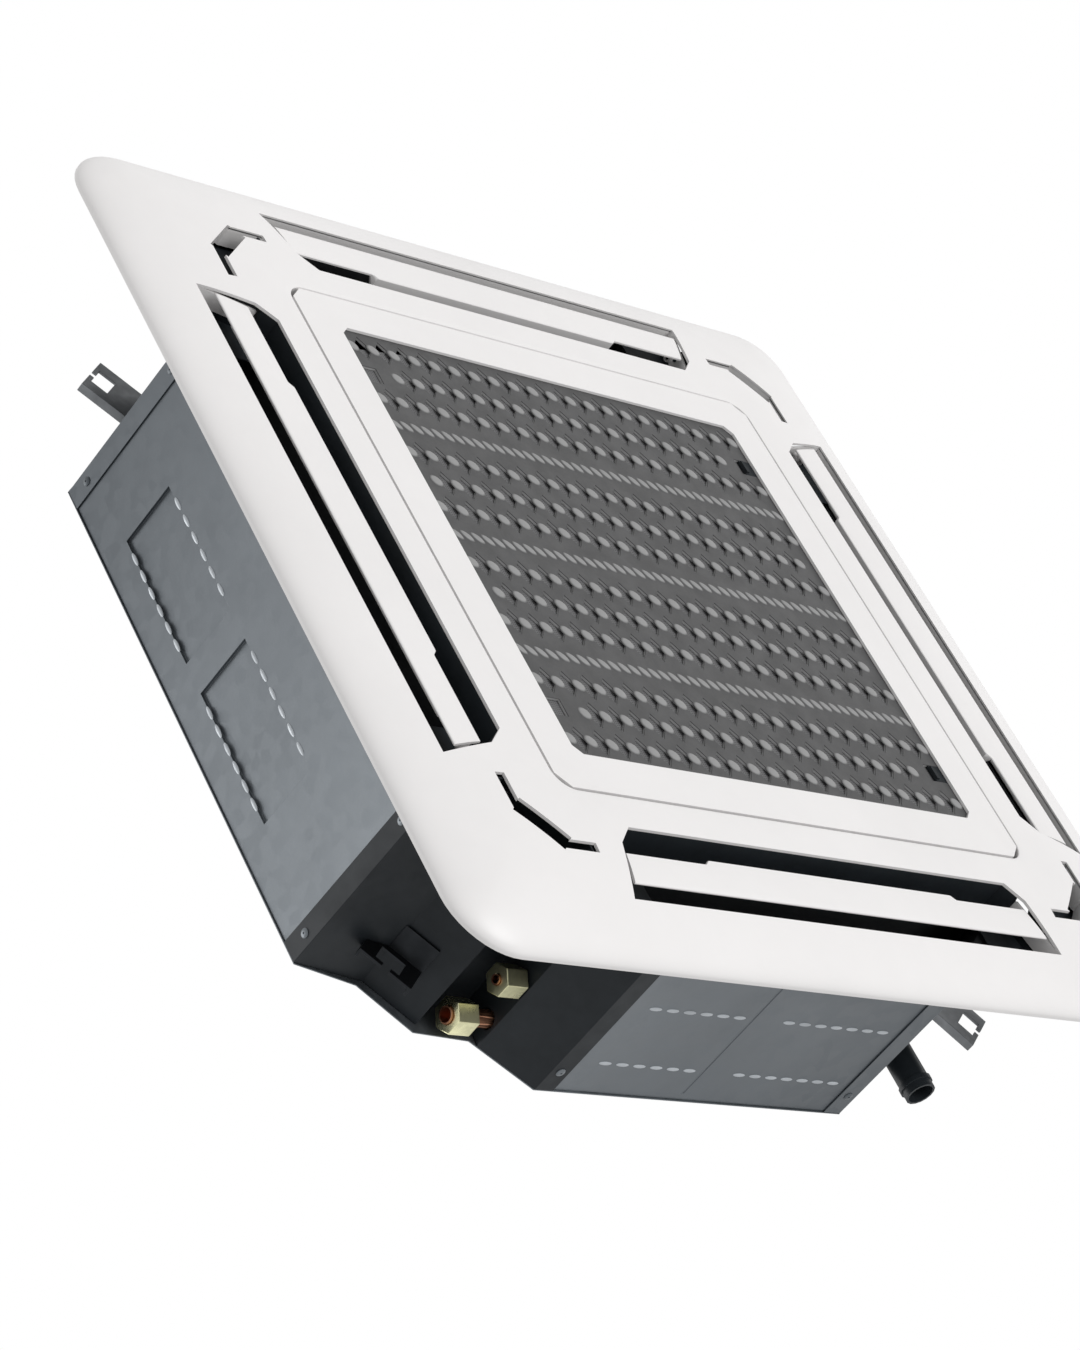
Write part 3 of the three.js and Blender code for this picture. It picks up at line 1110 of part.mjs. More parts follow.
// Black boxes that close the corner outlets from above.
const sideNames = ["left", "rear", "right", "front"];
const cornerNames = ["rear_left", "rear_right", "front_right", "front_left"];
function cornerDuct() {
  const outer = [
    [CORNER_SLOT + 34, CORNER_LEG_END + 2], [CORNER_SLOT + 34, CORNER_SLOT - 4],
    [CORNER_SLOT - 4, CORNER_SLOT + 34], [CORNER_LEG_END + 2, CORNER_SLOT + 34],
    [CORNER_LEG_END + 2, CORNER_SLOT - 16], [CORNER_SLOT - 16, CORNER_LEG_END + 2],
  ];
  const roof = -4;
  const room = domeSolid(PANEL_WALL + GAP, 1).intersect(prism(outer, -40, roof));
  return cut(room, prism(inset(outer, DUCT_WALL), -40, roof - DUCT_WALL));
}
const duct = cornerDuct();
cornerNames.forEach((name, i) => {
  piece(panel, "corner_duct_" + name, turnZ(duct, i), blackPlastic);
});

// ---------------------------------------------------------------- vanes and their motors
function vane() {
  const endAt = (r) => slotEndAt(r) - VANE_END_GAP;
  const outline = [
    [VANE_OUTER, -endAt(VANE_OUTER)], [VANE_OUTER, endAt(VANE_OUTER)],
    [VANE_STEP, endAt(VANE_STEP)], [VANE_STEP, VANE_STEP_START + 6],
    [VANE_INNER, VANE_STEP_START], [VANE_INNER, -VANE_STEP_START],
    [VANE_STEP, -VANE_STEP_START - 6], [VANE_STEP, -endAt(VANE_STEP)],
  ];
  const blade = prism(outline, VANE_BOTTOM, VANE_BOTTOM + VANE_THICKNESS);
  const lip = box(VANE_INNER, VANE_INNER + VANE_THICKNESS, -VANE_STEP_START, VANE_STEP_START,
    VANE_BOTTOM, VANE_LIP_TOP);
  const ribs = [388, 397].map((r) => box(r, r + 1.6, -VANE_STEP_START - 70, VANE_STEP_START + 70,
    VANE_BOTTOM + 1, VANE_BOTTOM + 6));
  const lugStart = slotEndAt(PIVOT_R) - 8;
  const lugs = [-1, 1].map((side) => {
    const y0 = side > 0 ? lugStart - 5 : -lugStart;
    const lug = join(
      box(PIVOT_R - 4.5, PIVOT_R + 4.5, y0, y0 + 5, VANE_BOTTOM + 1, PIVOT_Z),
      rod([PIVOT_R, y0, PIVOT_Z], [PIVOT_R, y0 + 5, PIVOT_Z], 4.5, 12),
    );
    return cut(lug, rod([PIVOT_R, y0 - 1, PIVOT_Z], [PIVOT_R, y0 + 6, PIVOT_Z],
      PIN_RADIUS + PIN_CLEARANCE, 12));
  });
  return join(blade, lip, ...ribs, ...lugs);
}
const vaneSolid = vane();
function vaneMotor() {
  const face = slotEndAt(PIVOT_R + VANE_MOTOR_RADIUS) + PANEL_WALL + 1;
  const body = rod([PIVOT_R, face, PIVOT_Z], [PIVOT_R, face + VANE_MOTOR_LENGTH, PIVOT_Z], VANE_MOTOR_RADIUS);
  const shaft = rod([PIVOT_R, slotEndAt(PIVOT_R) - 12, PIVOT_Z], [PIVOT_R, face + 1, PIVOT_Z], PIN_RADIUS, 12);
  return join(body, shaft);
}
const vaneMotorSolid = vaneMotor();
sideNames.forEach((name, i) => {
  piece(panel, "vane_" + name, turnZ(vaneSolid, i), panelPlastic);
  piece(panel, "vane_motor_" + name, turnZ(vaneMotorSolid, i), blackPlastic);
});

// ---------------------------------------------------------------- intake grille
function grilleFrame() {
  const top = FACE_Z + FRAME_WALL;
  const plate = cut(
    prism(cutSquare(GRILLE_HALF, GRILLE_CORNER), FACE_Z, top),
    prism(cutSquare(LATTICE_HALF, LATTICE_CORNER), FACE_Z - 1, top + 1),
  );
  const ribOuter = cut(
    prism(cutSquare(GRILLE_HALF - 4, GRILLE_CORNER), FACE_Z + 1, FRAME_RIB_TOP),
    prism(cutSquare(GRILLE_HALF - 6, GRILLE_CORNER), FACE_Z, FRAME_RIB_TOP + 1),
  );
  const ribHalf = LATTICE_HALF + LATTICE_REBATE;
  const ribInner = cut(
    prism(cutSquare(ribHalf + 2, LATTICE_CORNER + 2), FACE_Z + 1, FRAME_RIB_TOP),
    prism(cutSquare(ribHalf, LATTICE_CORNER + 2), FACE_Z, FRAME_RIB_TOP + 1),
  );
  let frame = join(plate, ribOuter, ribInner);
  for (const side of [-1, 1]) {
    const y = side * HINGE_Y;
    // the rib is opened round the hinge, and an eye stands on the plate
    const room = box(HINGE_X - HINGE_EYE - 3, GRILLE_HALF + 1, y - HINGE_ROOM, y + HINGE_ROOM, top, FRAME_RIB_TOP + 1);
    const lugY = y + side * HINGE_ROOM;
    const lugRoom = box(HINGE_X - 8, GRILLE_HALF + 1, lugY - 5, lugY + 5, top, FRAME_RIB_TOP + 1);
    frame = cut(frame, room, lugRoom);
    const eye = join(
      rod([HINGE_X, y - 5, HINGE_Z], [HINGE_X, y + 5, HINGE_Z], HINGE_EYE, 20),
      box(HINGE_X - HINGE_EYE, HINGE_X + HINGE_EYE, y - 5, y + 5, FACE_Z + 1, HINGE_Z - 2),
    );
    const bore = rod([HINGE_X, y - 20, HINGE_Z], [HINGE_X, y + 20, HINGE_Z], PIN_RADIUS + PIN_CLEARANCE, 16);
    frame = cut(join(frame, eye), bore);
    // pocket for the latch on the other side
    const ly = side * LATCH_Y;
    const pocket = box(-ribHalf - 3, -LATTICE_HALF, ly - LATCH_WIDTH / 2 - GAP, ly + LATCH_WIDTH / 2 + GAP,
      top, FRAME_RIB_TOP + 1);
    const outerPocket = box(-GRILLE_HALF - 1, -ribHalf, ly - LATCH_WIDTH / 2 - GAP, ly + LATCH_WIDTH / 2 + GAP,
      top, FRAME_RIB_TOP + 1);
    frame = cut(frame, pocket, outerPocket);
  }
  return frame;
}
piece(panel, "grille_frame", grilleFrame(), panelPlastic);

// The lattice: staggered slim diamonds between straight ribs, with notches for the latches and hinges.
function grilleLattice() {
  const z0 = LATTICE_BOTTOM;
  const z1 = LATTICE_TOP;
  const outerHalf = LATTICE_HALF + LATTICE_REBATE - GAP;
  const columns = Math.floor(LATTICE_HALF / CELL_WIDTH);
  const rows = Math.floor(LATTICE_HALF / CELL_ROW);
  const shape = new THREE.Shape(cutSquare(outerHalf, LATTICE_CORNER + 2)
    .map(([x, y]) => new THREE.Vector2(x, y)));
  const halfWidth = CELL_WIDTH / 2 - CELL_RIB / 2;
  const halfHeight = CELL_ROW / 2 - CELL_RIB / 2;
  for (let row = -rows; row <= rows; row++) {
    const onRib = row % BAND_ROWS === 0;
    const y = row * CELL_ROW;
    if (onRib) continue;
    for (let column = -columns; column <= columns; column++) {
      const shift = row % 2 === 0 ? 0 : CELL_WIDTH / 2;
      const x = column * CELL_WIDTH + shift;
      if (Math.abs(x) + halfWidth > LATTICE_HALF - 3) continue;
      if (notchAt(x, y)) continue;
      shape.holes.push(new THREE.Path([
        new THREE.Vector2(x + halfWidth, y), new THREE.Vector2(x, y + halfHeight),
        new THREE.Vector2(x - halfWidth, y), new THREE.Vector2(x, y - halfHeight),
      ]));
    }
  }
  let lattice = prism(shape, z0, z1);
  for (const side of [-1, 1]) {
    for (const end of [-1, 1]) {
      const y = side * LATCH_Y;
      const x0 = end < 0 ? -outerHalf - 1 : LATTICE_HALF - LATCH_NOTCH;
      const x1 = end < 0 ? -LATTICE_HALF + LATCH_NOTCH : outerHalf + 1;
      const half = LATCH_WIDTH / 2 + GAP;
      lattice = cut(lattice, box(x0, x1, y - half, y + half, z0 - 1, z1 + 1));
    }
  }
  return lattice;
}
function notchAt(x, y) {
  const inX = Math.abs(x) > LATTICE_HALF - LATCH_NOTCH - CELL_WIDTH / 2;
  const inY = Math.abs(Math.abs(y) - LATCH_Y) < LATCH_WIDTH / 2 + CELL_ROW / 2;
  return inX && inY;
}
piece(panel, "grille_lattice", grilleLattice(), latticePlastic);

// The washable filter: a frame with crossing bars round a thin net.
function airFilter() {
  const half = LATTICE_HALF + LATTICE_REBATE - 2 - GAP;
  const z1 = FILTER_BOTTOM + FILTER_HEIGHT;
  const rim = cut(
    prism(cutSquare(half, LATTICE_CORNER + 4), FILTER_BOTTOM, z1),
    prism(cutSquare(half - 7, LATTICE_CORNER + 4), FILTER_BOTTOM - 1, z1 + 1),
  );
  const net = prism(cutSquare(half - 3, LATTICE_CORNER + 4), FILTER_BOTTOM + 2, FILTER_BOTTOM + 2.8);
  const bars = [];
  for (const at of [-130, 0, 130]) {
    bars.push(box(at - 2, at + 2, -half + 3, half - 3, FILTER_BOTTOM + 1, z1 - 1));
    bars.push(box(-half + 3, half - 3, at - 2, at + 2, FILTER_BOTTOM + 1, z1 - 1));
  }
  return join(rim, net, ...bars);
}
piece(panel, "air_filter", airFilter(), filterNet);

// Sliding latches on the side away from the hinges.
function grilleLatch(side) {
  const half = LATCH_WIDTH / 2;
  const y = side * LATCH_Y;
  const end = -LATTICE_HALF + LATCH_TRAVEL + 7;
  const slider = box(-GRILLE_HALF + 1, end, y - half, y + half, LATTICE_BOTTOM, LATTICE_TOP);
  const thumb = box(end - 4, end, y - half + 2, y + half - 2, FACE_Z + 1, LATTICE_TOP);
  return join(slider, thumb);
}
piece(panel, "grille_latch_rear", grilleLatch(1), blackPlastic);
piece(panel, "grille_latch_front", grilleLatch(-1), blackPlastic);

export default cassette;
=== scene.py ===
"""A four-way ceiling cassette air conditioner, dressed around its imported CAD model.

Shapes are worked out in millimetres in the CAD model's own frame and scaled once, where a mesh is
made. Z = 0 is the ceiling's underside: the casing hangs above it, the panel shows below it.
"""

import json
import math

import bmesh
import bpy
import numpy as np
from mathutils import Matrix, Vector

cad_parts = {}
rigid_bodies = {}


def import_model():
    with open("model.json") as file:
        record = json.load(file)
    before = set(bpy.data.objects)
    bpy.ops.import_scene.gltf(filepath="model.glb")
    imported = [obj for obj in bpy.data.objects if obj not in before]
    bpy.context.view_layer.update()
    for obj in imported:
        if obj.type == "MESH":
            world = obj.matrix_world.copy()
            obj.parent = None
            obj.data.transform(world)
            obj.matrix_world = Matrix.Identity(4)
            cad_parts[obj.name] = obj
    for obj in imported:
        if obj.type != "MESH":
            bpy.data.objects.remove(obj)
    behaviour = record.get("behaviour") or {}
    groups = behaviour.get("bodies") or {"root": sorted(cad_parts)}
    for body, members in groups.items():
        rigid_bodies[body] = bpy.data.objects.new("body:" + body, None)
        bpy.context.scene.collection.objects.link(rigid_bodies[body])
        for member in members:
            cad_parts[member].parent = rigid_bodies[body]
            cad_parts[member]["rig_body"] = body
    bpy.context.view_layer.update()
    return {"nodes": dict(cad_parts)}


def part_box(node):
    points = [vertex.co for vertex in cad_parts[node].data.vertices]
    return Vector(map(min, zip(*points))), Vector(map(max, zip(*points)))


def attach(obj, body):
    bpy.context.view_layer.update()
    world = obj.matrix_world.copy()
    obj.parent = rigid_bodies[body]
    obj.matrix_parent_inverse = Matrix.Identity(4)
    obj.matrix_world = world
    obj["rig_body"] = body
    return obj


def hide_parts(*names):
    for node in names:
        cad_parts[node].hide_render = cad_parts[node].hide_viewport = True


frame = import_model()

bl_info = {
    "name": "Ceiling cassette looks",
    "version": (1, 0, 0),
    "blender": (4, 5, 0),
    "location": "3D view > Sidebar > Cassette",
    "description": "Makes the visible surfaces and finishes of a ceiling cassette air conditioner",
    "category": "Object",
}

MM = 0.001
SIDE_NAMES = ("left", "rear", "right", "front")
CORNER_NAMES = ("rear_left", "rear_right", "front_right", "front_left")


def node_box(node):
    """Lowest and highest corner of a CAD node, in millimetres."""
    low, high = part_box(node)
    return np.array(low) / MM, np.array(high) / MM


# Each HALF is a distance from the centre line, and each GAP a clearance between pieces.
PANEL_LOW, PANEL_HIGH = node_box("panel_frame")
PANEL_HALF = PANEL_HIGH[0]
FACE_Z = PANEL_LOW[2]
GRILLE_GAP = 2.5
GRILLE_HALF = node_box("grille_frame")[1][0]
GRILLE_OPENING = GRILLE_HALF + GRILLE_GAP
LATTICE_REBATE = 5.7
LATTICE_LOW, LATTICE_HIGH = node_box("grille_lattice")
LATTICE_HALF = LATTICE_HIGH[0] - LATTICE_REBATE
CASING_HALF = node_box("casing_side_left")[1][0]
CORNER_PLATE_HALF = node_box("casing_corner_rear_left")[1][0]
COVER_HALF = node_box("pipe_cover")[1][0]
VANE_LOW, VANE_HIGH = node_box("vane_left")


# ------------------------------------------------------------------ sizes and colours for the user
def length_property(name, default, description):
    """A size that the user can set, in metres."""
    return bpy.props.FloatProperty(name=name, default=default, description=description,
                                   unit="LENGTH", subtype="DISTANCE")


def colour_property(name, default, description):
    """A linear base colour that the user can set."""
    return bpy.props.FloatVectorProperty(name=name, default=default, description=description,
                                         size=3, min=0, max=1, subtype="COLOR")


class CassetteSizes(bpy.types.PropertyGroup):
    """Sizes of the visible details."""

    panel_corner: length_property("Panel corner", 0.058, "Corner radius of the panel's outer rim")
    opening_corner: length_property("Opening corner", 0.022, "Corner radius of the opening for the grille")
    edge_round: length_property("Edge rounding", 0.0005, "Rounding of the panel's moulded edges")
    knot_length: length_property("Knot length", 0.0165, "Long axis of the raised knots on the lattice")
    knot_width: length_property("Knot width", 0.0135, "Short axis of the raised knots on the lattice")
    knot_height: length_property("Knot height", 0.0017, "How far the knots stand out of the lattice")
    screw_head: length_property("Screw head", 0.009, "Diameter of the casing's screw heads")


class CassetteColours(bpy.types.PropertyGroup):
    """Base colours of the finishes."""

    panel: colour_property("Panel", (0.80, 0.785, 0.78), "Moulded panel, vanes and grille frame")
    lattice: colour_property("Lattice", (0.066, 0.066, 0.067), "Intake lattice")
    # Painted highlight: the lattice's raised knots and ribs take the Knots colour by their height, and the
    # walls of its openings a lighter shade of it, as painted light.
    knots: colour_property("Knots", (0.27, 0.27, 0.27), "Raised knots and ribs of the lattice")
    zinc: colour_property("Zinc", (0.205, 0.226, 0.245), "Galvanised sheet, where it is bright")
    # Painted shade: the casing sheet darkens from the zinc colour to the next one towards its top and
    # towards two of its corners.
    zinc_painted_shade: colour_property("Zinc in painted shade", (0.036, 0.044, 0.052), "Galvanised sheet, where it has dulled")
    black: colour_property("Black plastic", (0.017, 0.021, 0.025), "Pipe cover, drain stub and ducts")
    brass: colour_property("Brass", (0.78, 0.76, 0.48), "Flare nuts")


# ------------------------------------------------------------------ shader groups
def shader_group(name, inputs, outputs):
    """A new node group with named sockets; inputs and outputs are {name: (socket type, default)}."""
    group = bpy.data.node_groups.new(name, "ShaderNodeTree")
    for label, (kind, default) in inputs.items():
        socket = group.interface.new_socket(label, in_out="INPUT", socket_type=kind)
        if default is not None:
            socket.default_value = default
    for label, kind in outputs.items():
        group.interface.new_socket(label, in_out="OUTPUT", socket_type=kind)
    return group, group.nodes.new("NodeGroupInput"), group.nodes.new("NodeGroupOutput")


def noise(group, coordinates, scale, detail=3.0, roughness=0.5):
    """A 3D noise node reading the given coordinates; scale is a value or a socket."""
    node = group.nodes.new("ShaderNodeTexNoise")
    node.inputs["Detail"].default_value = detail
    node.inputs["Roughness"].default_value = roughness
    group.links.new(coordinates, node.inputs["Vector"])
    connect_or_set(group, scale, node.inputs["Scale"])
    return node.outputs["Fac"]


def connect_or_set(group, value, socket):
    """Links a socket, or sets a plain number or colour."""
    if isinstance(value, bpy.types.NodeSocket):
        group.links.new(value, socket)
    else:
        socket.default_value = value


def calculate(group, operation, a, b=0.0, clamp=False):
    """One Math node."""
    node = group.nodes.new("ShaderNodeMath")
    node.operation = operation
    node.use_clamp = clamp
    connect_or_set(group, a, node.inputs[0])
    connect_or_set(group, b, node.inputs[1])
    return node.outputs[0]


def remap(group, value, low, high, to_low, to_high):
    """A clamped linear map of a value from low..high to to_low..to_high."""
    node = group.nodes.new("ShaderNodeMapRange")
    for socket, number in zip(node.inputs[:5], (value, low, high, to_low, to_high)):
        connect_or_set(group, number, socket)
    return node.outputs[0]


def blend_colours(group, factor, a, b):
    """A Mix node on two colours."""
    node = group.nodes.new("ShaderNodeMix")
    node.data_type = "RGBA"
    connect_or_set(group, factor, node.inputs["Factor"])
    connect_or_set(group, a, node.inputs[6])
    connect_or_set(group, b, node.inputs[7])
    return node.outputs[2]


def colour_drift_group():
    """A colour that drifts slowly between two shades: mix by low noise, plus a finer second noise."""
    group, ins, outs = shader_group("Colour drift", {
        "Vector": ("NodeSocketVector", None),
        "Colour": ("NodeSocketColor", (1, 1, 1, 1)),
        "Shade": ("NodeSocketColor", (0, 0, 0, 1)),
        "Scale": ("NodeSocketFloat", 6.0),
        "Amount": ("NodeSocketFloat", 1.0),
    }, {"Colour": "NodeSocketColor", "Mask": "NodeSocketFloat"})
    slow = noise(group, ins.outputs["Vector"], ins.outputs["Scale"], 2.0)
    fine = noise(group, ins.outputs["Vector"], calculate(group, "MULTIPLY", ins.outputs["Scale"], 9.0))
    mixed = calculate(group, "ADD", calculate(group, "MULTIPLY", slow, 0.75),
                      calculate(group, "MULTIPLY", fine, 0.25))
    mask = calculate(group, "MULTIPLY", remap(group, mixed, 0.35, 0.65, 0.0, 1.0), ins.outputs["Amount"])
    group.links.new(mask, outs.inputs["Mask"])
    group.links.new(blend_colours(group, mask, ins.outputs["Colour"], ins.outputs["Shade"]),
                    outs.inputs["Colour"])
    return group


def moulded_grain_group():
    """The fine grain of moulded plastic, as a height: a mix of two noises, one 0.3 of the other's scale."""
    group, ins, outs = shader_group("Moulded grain", {
        "Vector": ("NodeSocketVector", None),
        "Scale": ("NodeSocketFloat", 900.0),
        "Coarseness": ("NodeSocketFloat", 0.5),
    }, {"Height": "NodeSocketFloat"})
    fine = noise(group, ins.outputs["Vector"], ins.outputs["Scale"], 2.0)
    coarse_scale = calculate(group, "MULTIPLY", ins.outputs["Scale"], 0.3)
    coarse = noise(group, ins.outputs["Vector"], coarse_scale, 1.0)
    height = group.nodes.new("ShaderNodeMix")
    group.links.new(ins.outputs["Coarseness"], height.inputs["Factor"])
    group.links.new(fine, height.inputs[2])
    group.links.new(coarse, height.inputs[3])
    group.links.new(height.outputs[0], outs.inputs["Height"])
    return group


def zinc_spangle_group():
    """Galvanised sheet: each Voronoi cell is one zinc crystal with its own shade and gloss."""
    group, ins, outs = shader_group("Zinc spangle", {
        "Vector": ("NodeSocketVector", None),
        "Scale": ("NodeSocketFloat", 90.0),
        "Contrast": ("NodeSocketFloat", 0.2),
    }, {"Shade": "NodeSocketFloat", "Height": "NodeSocketFloat"})
    warp = noise(group, ins.outputs["Vector"], calculate(group, "MULTIPLY", ins.outputs["Scale"], 0.7))
    moved = group.nodes.new("ShaderNodeVectorMath")
    moved.operation = "ADD"
    group.links.new(ins.outputs["Vector"], moved.inputs[0])
    small = calculate(group, "MULTIPLY", warp, 0.006)
    group.links.new(small, moved.inputs[1])
    cells = group.nodes.new("ShaderNodeTexVoronoi")
    group.links.new(moved.outputs[0], cells.inputs["Vector"])
    group.links.new(ins.outputs["Scale"], cells.inputs["Scale"])
    split = group.nodes.new("ShaderNodeSeparateColor")
    group.links.new(cells.outputs["Color"], split.inputs[0])
    centred = calculate(group, "SUBTRACT", split.outputs[0], 0.5)
    shade = calculate(group, "ADD", calculate(group, "MULTIPLY", centred, ins.outputs["Contrast"]), 1.0)
    group.links.new(shade, outs.inputs["Shade"])
    group.links.new(cells.outputs["Distance"], outs.inputs["Height"])
    return group


def even_sweep_group():
    """A mask that rises from 0 to 1 as the absolute dot product of place and Direction passes from
    Start to End, so that it is the same on both sides of the middle."""
    group, ins, outs = shader_group("Even sweep", {
        "Vector": ("NodeSocketVector", None),
        "Direction": ("NodeSocketVector", (0, 0, 1)),
        "Start": ("NodeSocketFloat", 0.0),
        "End": ("NodeSocketFloat", 1.0),
    }, {"Mask": "NodeSocketFloat"})
    along = group.nodes.new("ShaderNodeVectorMath")
    along.operation = "DOT_PRODUCT"
    group.links.new(ins.outputs["Vector"], along.inputs[0])
    group.links.new(ins.outputs["Direction"], along.inputs[1])
    distance = calculate(group, "ABSOLUTE", along.outputs["Value"])
    mask = remap(group, distance, ins.outputs["Start"], ins.outputs["End"], 0.0, 1.0)
    group.links.new(mask, outs.inputs["Mask"])
    return group


def woven_net_group():
    """A net of threads in X and Y: the mask is 1 on a thread and 0 in a mesh, from two sine waves."""
    group, ins, outs = shader_group("Woven net", {
        "Vector": ("NodeSocketVector", None),
        "Pitch": ("NodeSocketFloat", 0.002),
    }, {"Mask": "NodeSocketFloat"})
    split = group.nodes.new("ShaderNodeSeparateXYZ")
    group.links.new(ins.outputs["Vector"], split.inputs[0])
    waves = []
    for axis in (0, 1):
        turns = calculate(group, "DIVIDE", split.outputs[axis], ins.outputs["Pitch"])
        angle = calculate(group, "MULTIPLY", turns, 2 * math.pi)
        waves.append(calculate(group, "SINE", angle))
    top = calculate(group, "MAXIMUM", *waves)
    group.links.new(remap(group, top, 0.2, 0.8, 0.0, 1.0), outs.inputs["Mask"])
    return group


def soiling_group():
    """A mask of small rubbed and soiled patches: thresholded noise, broken up by a finer one."""
    group, ins, outs = shader_group("Soiling", {
        "Vector": ("NodeSocketVector", None),
        "Scale": ("NodeSocketFloat", 14.0),
        "Amount": ("NodeSocketFloat", 0.3),
    }, {"Mask": "NodeSocketFloat"})
    patches = noise(group, ins.outputs["Vector"], ins.outputs["Scale"], 4.0, 0.6)
    speck_scale = calculate(group, "MULTIPLY", ins.outputs["Scale"], 22.0)
    specks = noise(group, ins.outputs["Vector"], speck_scale, 2.0)
    both = calculate(group, "MULTIPLY", remap(group, patches, 0.45, 0.75, 0.0, 1.0),
                     remap(group, specks, 0.35, 0.7, 0.3, 1.0))
    group.links.new(calculate(group, "MULTIPLY", both, ins.outputs["Amount"]), outs.inputs["Mask"])
    return group


GROUP_MAKERS = {
    "Colour drift": colour_drift_group,
    "Moulded grain": moulded_grain_group,
    "Zinc spangle": zinc_spangle_group,
    "Even sweep": even_sweep_group,
    "Woven net": woven_net_group,
    "Soiling": soiling_group,
}


def place_group(tree, name, **values):
    """Places a shared group in a material, made on first use, with this material's own values."""
    shared = bpy.data.node_groups.get(name) or GROUP_MAKERS[name]()
    node = tree.nodes.new("ShaderNodeGroup")
    node.node_tree = shared
    coordinates = tree.nodes.get("Object place")
    tree.links.new(coordinates.outputs["Object"], node.inputs["Vector"])
    for label, value in values.items():
        connect_or_set(tree, value, node.inputs[label.replace("_", " ")])
    return node


def start_material(name):
    """A material with its shader and a texture coordinate node, and its node tree."""
    material = bpy.data.materials.new(name)
    material.use_nodes = True
    tree = material.node_tree
    place = tree.nodes.new("ShaderNodeTexCoord")
    place.name = "Object place"
    return material, tree, tree.nodes["Principled BSDF"]


def add_bump(tree, shader, height, strength, distance):
    """A Bump node in front of the shader's Normal."""
    bump = tree.nodes.new("ShaderNodeBump")
    bump.inputs["Strength"].default_value = strength
    bump.inputs["Distance"].default_value = distance
    tree.links.new(height, bump.inputs["Height"])
    tree.links.new(bump.outputs["Normal"], shader.inputs["Normal"])


def shaded(base, factor):
    """A colour made darker or lighter by a factor, with its alpha."""
    return tuple(min(1.0, part * factor) for part in base[:3]) + (1.0,)


def drifting(tree, base, shade, scale):
    """A base colour that drifts to a darker shade of itself; scale is in drifts to the metre."""
    return place_group(tree, "Colour drift", Colour=shaded(base, 1), Shade=shaded(base, shade), Scale=scale)


def surface(tree, shader, base, gloss_mask, roughness, height, strength, distance):
    """Links a finish: its colour, its roughness between two values by a mask, and its bump."""
    tree.links.new(base, shader.inputs["Base Color"])
    tree.links.new(remap(tree, gloss_mask, 0.0, 1.0, *roughness), shader.inputs["Roughness"])
    add_bump(tree, shader, height, strength, distance)


def plastic(name, base, shade=0.93, roughness=(0.38, 0.5), grain=900.0, bump=0.12, drift=5.0, soiling=0.0,
            specular=0.5):
    """Moulded plastic: drifting colour, fine grain in the bump and an uneven gloss."""
    material, tree, shader = start_material(name)
    shader.inputs["Specular IOR Level"].default_value = specular
    tint = drifting(tree, base, shade, drift)
    visible = tint.outputs["Colour"]
    if soiling:
        dirt = place_group(tree, "Soiling", Amount=soiling)
        visible = blend_colours(tree, dirt.outputs["Mask"], visible, shaded(base, 0.55))
    texture = place_group(tree, "Moulded grain", Scale=grain)
    surface(tree, shader, visible, tint.outputs["Mask"], roughness, texture.outputs["Height"], bump, 0.0002)
    return material


def metal(name, base, shade=0.8, roughness=(0.25, 0.4), grain=700.0, bump=0.08, drift=12.0, metallic=1.0):
    """Machined or drawn metal: drifting tarnish and a fine surface grain."""
    material, tree, shader = start_material(name)
    shader.inputs["Metallic"].default_value = metallic
    tint = drifting(tree, base, shade, drift)
    texture = place_group(tree, "Moulded grain", Scale=grain)
    surface(tree, shader, tint.outputs["Colour"], tint.outputs["Mask"], roughness,
            texture.outputs["Height"], bump, 0.0001)
    return material


def galvanised(name, bright, painted_shade):
    """Zinc-coated sheet: cloudy blue-grey, crystals of differing shade and gloss, a little soiling,
    and painted shade with a painted reflection: darker towards the top and towards two of the corners."""
    material, tree, shader = start_material(name)
    cloud = place_group(tree, "Colour drift", Colour=shaded(bright, 1.1), Shade=shaded(bright, 0.85),
                        Scale=3.2)
    spangle = place_group(tree, "Zinc spangle", Scale=85.0, Contrast=0.16)
    tinted = tree.nodes.new("ShaderNodeMix")
    tinted.data_type = "RGBA"
    tinted.blend_type = "MULTIPLY"
    tinted.inputs["Factor"].default_value = 1.0
    tree.links.new(cloud.outputs["Colour"], tinted.inputs[6])
    tree.links.new(spangle.outputs["Shade"], tinted.inputs[7])
    dirt = place_group(tree, "Soiling", Amount=0.3, Scale=9.0)
    base = blend_colours(tree, dirt.outputs["Mask"], tinted.outputs[2], shaded(bright, 0.62))
    # Painted reflection and painted shade: lighter towards the pipe corner and the corner opposite it,
    # darker towards the other two corners and towards the top.
    pipe_corner = place_group(tree, "Even sweep", Direction=(1, -1, 0), Start=0.16, End=0.74)
    height = place_group(tree, "Even sweep", Start=0.0, End=0.2)
    far = calculate(tree, "SUBTRACT", 1.0, pipe_corner.outputs["Mask"])
    painted_shade_mask = calculate(tree, "ADD", calculate(tree, "MULTIPLY", far, 0.72),
                     calculate(tree, "MULTIPLY", height.outputs["Mask"], 0.2), clamp=True)
    base = blend_colours(tree, painted_shade_mask, base, shaded(painted_shade, 1))
    tree.links.new(base, shader.inputs["Base Color"])
    shader.inputs["Metallic"].default_value = 0.55
    gloss = remap(tree, spangle.outputs["Shade"], 0.92, 1.08, 0.36, 0.5)
    tree.links.new(gloss, shader.inputs["Roughness"])
    add_bump(tree, shader, spangle.outputs["Height"], 0.06, 0.0004)
    return material


